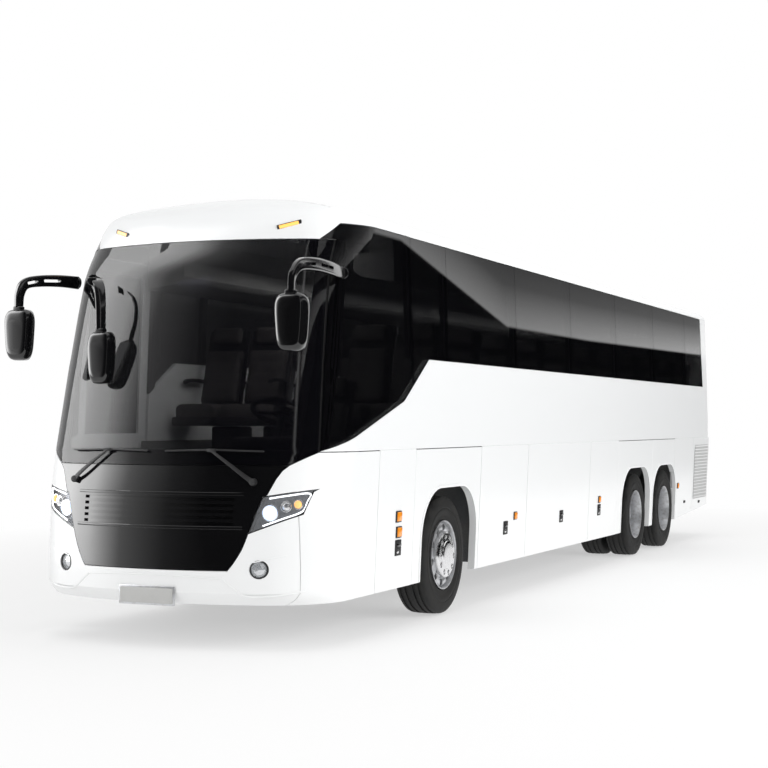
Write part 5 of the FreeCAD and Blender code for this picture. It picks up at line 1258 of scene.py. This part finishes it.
for hand, side in HANDS:
    y = side * 1.005
    for index, (z, finish) in enumerate(
            ((0.955, clear_acrylic), (1.075, amber_acrylic), (1.195, red_acrylic), (1.315, red_acrylic))):
        label = f"tail_lamp_{hand}_{index}_"
        ring = added("torus", label + "ring", major_segments=36, minor_segments=8, major_radius=0.050,
                     minor_radius=0.005, location=(tail_x(y) - 0.002, y, z), rotation=(0, math.pi / 2, 0))
        lens = added("uv_sphere", label + "lens", segments=32, ring_count=12, radius=0.048,
                     location=(tail_x(y) + 0.004, y, z))
        lens.scale = (0.35, 1, 1)
        settle_as(rounded_off(ring), "tail_lamps", zinc_bright)
        settle_as(rounded_off(lens), "tail_lamps", finish)
    reflector_at = (tail_x(0.95) - 0.004, side * 0.95, 0.550)
    reflector = rounded_box(f"tail_reflector_{hand}", (0.016, 0.140, 0.040), reflector_at, 0.004)
    settle(reflector, body_of["rear_bumper"], red_acrylic)

LOW_X, HIGH_X, LOW_Z, HIGH_Z = -6.815, -5.940, 0.560, 1.325
for hand, side in HANDS:
    body = body_of["engine_flap_" + hand]
    xs = [LOW_X + (HIGH_X - LOW_X) * i / 12 for i in range(13)]
    zs = [LOW_Z + (HIGH_Z - LOW_Z) * i / 8 for i in range(9)]
    rows = [[(x, side * (side_at(x, z) + 0.004), z) for x in xs[::side]] for z in zs]
    settle(thickened(sheet(f"inlet_{hand}_back", rows), 0.003), body, inlet_grey)
    paths = [[Vector((x, side * (side_at(0, z) + 0.005), z)) for x in xs[::2]]
             for z in [LOW_Z + 0.020 + 0.0453 * i for i in range(17)]]
    blades(f"inlet_{hand}_blades", paths, (0, side, -0.8), 0.003, 0.013, body, white_paint)
across = [0.62 - 0.062 * i for i in range(21)]
paths = [[Vector((tail_x(y) - 0.004, y, 0.760 + 0.030 * i)) for y in across] for i in range(12)]
hatch = body_of["engine_hatch"]
blades("hatch_louvres", paths, (1, 0, 0.7), 0.004, 0.010, hatch, matt_black)
grip = rounded_box("hatch_grip", (0.020, 0.220, 0.045), (-7.062, 0, 1.440), 0.007)
settle(grip, hatch, matt_black)
plate = rounded_box("tail_plate_blank", (0.008, 0.520, 0.112), (-7.062, 0, 0.695), 0.003)
settle(plate, hatch, white_paint)
print("tail details made")

# %% [markdown]
# The seats show through the glass. Each has a foot, a moulded shell, arm rests, and two pads: a cushion and a back
# with a headrest. A pad starts as a rounded box a little too small. Cloth simulation with air pressure inside
# rounds it out between its seams, its movement is capped, and the sewn channels are pressed in afterwards.
# One seat is made this way and then copied to every place.

# %% Padded masters
def swollen(name, size, edge, voxel, cap, pressure):
    pad = rounded_box(name, size, (0, 0, 0), edge, 4)
    applied(pad, "REMESH", mode="VOXEL", voxel_size=voxel)
    start = [vertex.co.copy() for vertex in pad.data.vertices]
    cloth = pad.modifiers.new("air", "CLOTH")
    cloth.settings.use_pressure, cloth.settings.uniform_pressure_force = True, pressure
    cloth.settings.effector_weights.gravity = 0
    cloth.settings.tension_stiffness = cloth.settings.compression_stiffness = 30
    cloth.settings.quality = 4
    cloth.collision_settings.use_collision = False
    for frame_number in range(1, 21):
        bpy.context.scene.frame_set(frame_number)
    bpy.ops.object.modifier_apply(modifier="air")
    bpy.context.scene.frame_set(1)
    for vertex, before in zip(pad.data.vertices, start):
        moved = vertex.co - before
        if moved.length > cap:
            vertex.co = before + moved.normalized() * cap
    return pad


def channelled(pad, places, axis, depth, width):
    """Presses sewn channels into a pad across one axis, on every side of it."""
    for vertex in pad.data.vertices:
        for place in places:
            press = depth * math.exp(-((vertex.co[axis] - place) / width) ** 2)
            inward = -vertex.co
            inward[axis] = 0
            vertex.co += inward.normalized() * press


def raked(piece, x, z):
    piece.matrix_world = Matrix.Translation((x, 0, z)) @ Matrix.Rotation(-SEAT_RAKE, 4, "Y")
    return piece

SEAT_RAKE = math.atan2(0.190, 0.730)
cushion = swollen("cushion_master", (0.440, 0.400, 0.120), 0.030, 0.011, 0.018, 4.0)
channelled(cushion, (-0.105, 0.0, 0.105), 0, 0.007, 0.010)
channelled(cushion, (-0.125, 0.125), 1, 0.004, 0.010)
back = swollen("back_master", (0.075, 0.400, 0.520), 0.028, 0.011, 0.014, 4.0)
channelled(back, (-0.170, -0.070, 0.030, 0.130), 2, 0.006, 0.011)
head_pad = swollen("headrest_master", (0.070, 0.300, 0.150), 0.028, 0.010, 0.012, 4.0)
for pad in (cushion, back, head_pad):
    rounded_off(applied(pad, "DECIMATE", ratio=0.34))
cushion.location = (0.345, 0, 0.378)
raked(back, 0.020, 0.705)
raked(head_pad, -0.072, 1.083)
print("pad faces:", [len(pad.data.polygons) for pad in (cushion, back, head_pad)])

# %% [markdown]
# The shell behind and below the pads is moulded plastic. Its rear has a pocket and a grab handle.

# %% Seat shell
shell_back = raked(rounded_box("shell_back", (0.026, 0.420, 0.720), (0, 0, 0), 0.010), -0.052, 0.785)
pocket = raked(rounded_box("pocket", (0.018, 0.320, 0.230), (0, 0, 0), 0.007), -0.028, 0.600)
handle_path = smooth_path(
    [(-0.150, 0.120, 1.120), (-0.176, 0.160, 1.128), (-0.176, 0.195, 1.090), (-0.150, 0.200, 1.040)], 6)
handle = swept("handle", handle_path, (1, 0, 0), 0.010, 0.012, ring=10)
pan = rounded_box("pan", (0.470, 0.420, 0.080), (0.340, 0, 0.300), 0.020)
seat_shell = joined("shell_master", pocket, handle, pan, shell_back)
rest_path = smooth_path([(-0.020, 0, 0.660), (0.120, 0, 0.672), (0.300, 0, 0.668), (0.345, 0, 0.650)], 6)
rest_bar = swept("rest_bar", rest_path, (0, 1, 0), 0.022, 0.016, ring=12)
foot_post = rounded_box("foot_post", (0.250, 0.290, 0.255), (0.250, 0, 0.128), 0.025)
print("shell faces:", len(seat_shell.data.polygons))

# %% [markdown]
# Rows of pairs run down both sides; two right-hand pairs are left out at the middle stairs.
# The solids say where the pairs are, so their boxes are read and each gets its two seats.

# %% Seats in their places
def loose_boxes(node):
    """The box of each loose part of a solid's mesh."""
    part = bpy.data.objects.new("parts", nodes[node].data.copy())
    bpy.context.scene.collection.objects.link(part)
    pick(part)
    bpy.ops.object.mode_set(mode="EDIT")
    bpy.ops.mesh.select_all(action="SELECT")
    bpy.ops.mesh.remove_doubles(threshold=0.0001)
    bpy.ops.mesh.separate(type="LOOSE")
    bpy.ops.object.mode_set(mode="OBJECT")
    boxes = []
    for piece in list(bpy.context.selected_objects):
        corners = [vertex.co for vertex in piece.data.vertices]
        boxes.append(([min(c[i] for c in corners) for i in range(3)], [max(c[i] for c in corners) for i in range(3)]))
        bpy.data.objects.remove(piece)
    return sorted(boxes)


def seat_copy(master, name, place, finish):
    copy = twin(master, name)
    copy.matrix_world = Matrix.Translation(place) @ master.matrix_world
    settle(copy, body_of["seats"], finish)
    return copy

REAR_TO_SEAT, PAIR_WIDTH = 0.190, 0.6
seat_boxes = loose_boxes("seats")
for number, (low, high) in enumerate(seat_boxes):
    middle = Vector((low[0] + REAR_TO_SEAT, (low[1] + high[1]) / 2, low[2]))
    pair = high[1] - low[1] > PAIR_WIDTH
    for lane, shift in enumerate((0.225, -0.225) if pair else (0.0,)):
        place = middle + Vector((0, shift, 0))
        label = f"seat_{number:02d}_{lane}"
        for pad, kind in ((cushion, "_cushion"), (back, "_back"), (head_pad, "_headrest")):
            seat_copy(pad, label + kind, place, dark_hide)
        seat_copy(seat_shell, label + "_shell", place, matt_black)
    for lane, shift in enumerate((0.428, -0.428) if pair else (0.205, -0.205)):
        place = middle + Vector((0, shift, 0))
        seat_copy(rest_bar, f"seat_{number:02d}_rest_{lane}", place, matt_black)
    seat_copy(foot_post, f"seat_{number:02d}_foot", middle, chassis_black)
    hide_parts("seats")
for master in (cushion, back, head_pad, seat_shell, rest_bar, foot_post):
    bpy.data.objects.remove(master)
print("seats placed:", len(seat_boxes))

# %% [markdown]
# The driver's place: a thick steering wheel over the one in the solid, its hub and spokes, and the dials.

# %% Driver's place
grip_ring = smoothed(added("torus", major_segments=72, minor_segments=14, major_radius=0.235, minor_radius=0.023))
hub = smoothed(added("cylinder", vertices=40, radius=0.075, depth=0.045))
spokes = [rounded_box("spoke", (0.036, 0.440, 0.018), (0, 0, 0), 0.006),
          rounded_box("spoke", (0.230, 0.034, 0.018), (-0.110, 0, 0), 0.006)]
steering = joined("steering_wheel", *spokes, hub, grip_ring)
steering.matrix_world = Matrix.Translation((5.743, 0.640, 1.718)) @ Matrix.Rotation(math.radians(-25), 4, "Y")
settle_as(steering, "dashboard", matt_black)
binnacle = rounded_box("dial_binnacle", (0.180, 0.520, 0.110), (6.010, 0.640, 1.480), 0.035, 5)
settle_as(binnacle, "dashboard", matt_black)
for index, y in enumerate((0.500, 0.640, 0.780)):
    dial = added("cylinder", f"dial_{index}", vertices=36, radius=0.046, depth=0.006, location=(5.919, y, 1.485),
                 rotation=(0, math.pi / 2, 0))
    settle_as(dial, "dashboard", gloss_black)
turned_panel("dashboard", "dashboard_moulded", matt_black, edge=0.006)
turned_panel("overhead_racks", "racks_moulded", pale_rack, edge=0.006)
print("driver's place made")

# %% [markdown]
# The coach stands in a white studio. The floor is pale and keeps the soft shadow near the coach, but farther out
# it turns into plain white light, so that no horizon shows. The world is white to the camera, to reflections and
# through glass, and a little weaker as light.

# %% Studio floor and world
floor = added("plane", "studio_floor", size=400, location=(0, 0, 0))
floor_finish = Finish("studio_floor", Roughness=0.7, Base_Color=(0.93, 0.93, 0.93), Specular_IOR_Level=0.1)
spread = {0: floor_finish.stretched(0.62, 1, 1)}
away = floor_finish.node("ShaderNodeVectorMath", {"operation": "LENGTH"}, spread, out="Value")
glow = floor_finish.tree.nodes.new("ShaderNodeEmission")
blend = floor_finish.tree.nodes.new("ShaderNodeMixShader")
ending = floor_finish.tree.nodes["Material Output"]
floor_finish.feed(blend.inputs[0], away.over(3.0, 9.0) * 0.5 + 0.5)
floor_finish.tree.links.new(floor_finish.shader.outputs[0], blend.inputs[1])
floor_finish.tree.links.new(glow.outputs[0], blend.inputs[2])
floor_finish.tree.links.new(blend.outputs[0], ending.inputs[0])
wear(floor, floor_finish)
floor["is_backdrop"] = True

world = bpy.data.worlds.new("studio_world")
bpy.context.scene.world = world
world.use_nodes = True
tree = world.node_tree
tree.nodes.clear()
as_light, as_seen = tree.nodes.new("ShaderNodeBackground"), tree.nodes.new("ShaderNodeBackground")
for shade, strength in ((as_light, 0.60), (as_seen, 1.0)):
    shade.inputs["Color"].default_value = (1, 1, 1, 1)
    shade.inputs["Strength"].default_value = strength
path = tree.nodes.new("ShaderNodeLightPath")
seen = path.outputs["Is Camera Ray"]
for ray in ("Is Glossy Ray", "Is Transmission Ray"):
    either = tree.nodes.new("ShaderNodeMath")
    either.operation = "MAXIMUM"
    tree.links.new(seen, either.inputs[0])
    tree.links.new(path.outputs[ray], either.inputs[1])
    seen = either.outputs[0]
both = tree.nodes.new("ShaderNodeMixShader")
for source, socket in zip((seen, as_light.outputs[0], as_seen.outputs[0]), both.inputs):
    tree.links.new(source, socket)
tree.links.new(both.outputs[0], tree.nodes.new("ShaderNodeOutputWorld").inputs[0])
print("floor and world ready")

# %% [markdown]
# Dark glass in a white room would look grey. Photographers stand black cards beside it, and so does this scene:
# only reflections see them. The card at the left ends in a soft light band, which draws the pale curve over the
# rear windows; the one ahead fades to white toward the kerb side, which gives the windscreen its bright edge.

# %% Reflection cards
def card(name, corners, stops, low, high, strength, place_of):
    sheet_card = added("grid", name, x_subdivisions=1, y_subdivisions=1, size=2)
    for vertex, corner in zip(sheet_card.data.vertices, corners):
        vertex.co = corner
    paper = Finish(name)
    place = place_of(paper).over(low, high)
    ramp = paper.node("ShaderNodeValToRGB", {"stops": stops}, {"Fac": place}, out="Color")
    paper.set(Base_Color=(0, 0, 0), Specular_IOR_Level=0.0, Roughness=1.0, Emission_Strength=strength,
              Emission_Color=ramp)
    wear(sheet_card, paper)
    sheet_card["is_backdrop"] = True
    for ray in ("camera", "diffuse", "transmission", "shadow", "volume_scatter"):
        setattr(sheet_card, "visible_" + ray, False)


def sweep(paper):
    """Height on the side card, less the rise of the band's lower edge toward both ends."""
    along = paper.axis("X")
    return paper.axis("Z") - (1 - along.over(-26, -14)) * 0.15 - along.over(-9, -4.5)

card("side_card", [(10.5, 5.0, -0.5), (-34, 5.0, -0.5), (10.5, 5.0, 9.0), (-34, 5.0, 9.0)],
     [(0.0, 0.0), (0.095, 0.0), (0.115, 1.0), (0.4, 0.30), (0.8, 0.06), (1.0, 0.02)], 3.3, 5.8, 1.3, sweep)
card("front_card", [(10.5, -16, -1), (10.5, 9, -1), (10.5, -16, 22), (10.5, 9, 22)],
     [(0.0, 1.0), (0.32, 0.80), (0.468, 0.14), (0.57, 0.02), (0.63, 0.0), (0.80, 0.0), (0.816, 0.25), (0.832, 0.0)],
     -16, 9, 7.0, lambda paper: paper.axis("Y"))
card("kerb_card", [(4, -16, -1), (10.5, -16, -1), (4, -16, 22), (10.5, -16, 22)],
     [(0.0, 0.6), (1.0, 1.0)], 4, 10.5, 7.0, lambda paper: paper.axis("X"))


def studio_lamp(name, place, aim, width, depth, power):
    light = bpy.data.lights.new(name, "AREA")
    light.shape, light.size, light.size_y, light.energy = "RECTANGLE", width, depth, power
    lamp = bpy.data.objects.new(name, light)
    bpy.context.scene.collection.objects.link(lamp)
    lamp.location = place
    aimed(lamp, Vector(aim) - Vector(place), "-Z")
    lamp.visible_glossy = False

studio_lamp("roof_lamp", (0, 0, 14), (0, 0, 0), 22, 8, 500)
studio_lamp("side_lamp", (2, 15, 6), (-1, 0, 1.5), 20, 6, 1600)
studio_lamp("front_lamp", (20, -3, 6), (6, 0, 1.5), 8, 6, 450)
studio_lamp("saloon_lamp", (-1, 0, 3.02), (-1, 0, 0), 10, 0.5, 320)
studio_lamp("cab_lamp", (5.45, 0.1, 2.95), (4.9, 0.3, 1.2), 0.8, 1.6, 45)
print("studio ready")

# %% Size
low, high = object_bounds()
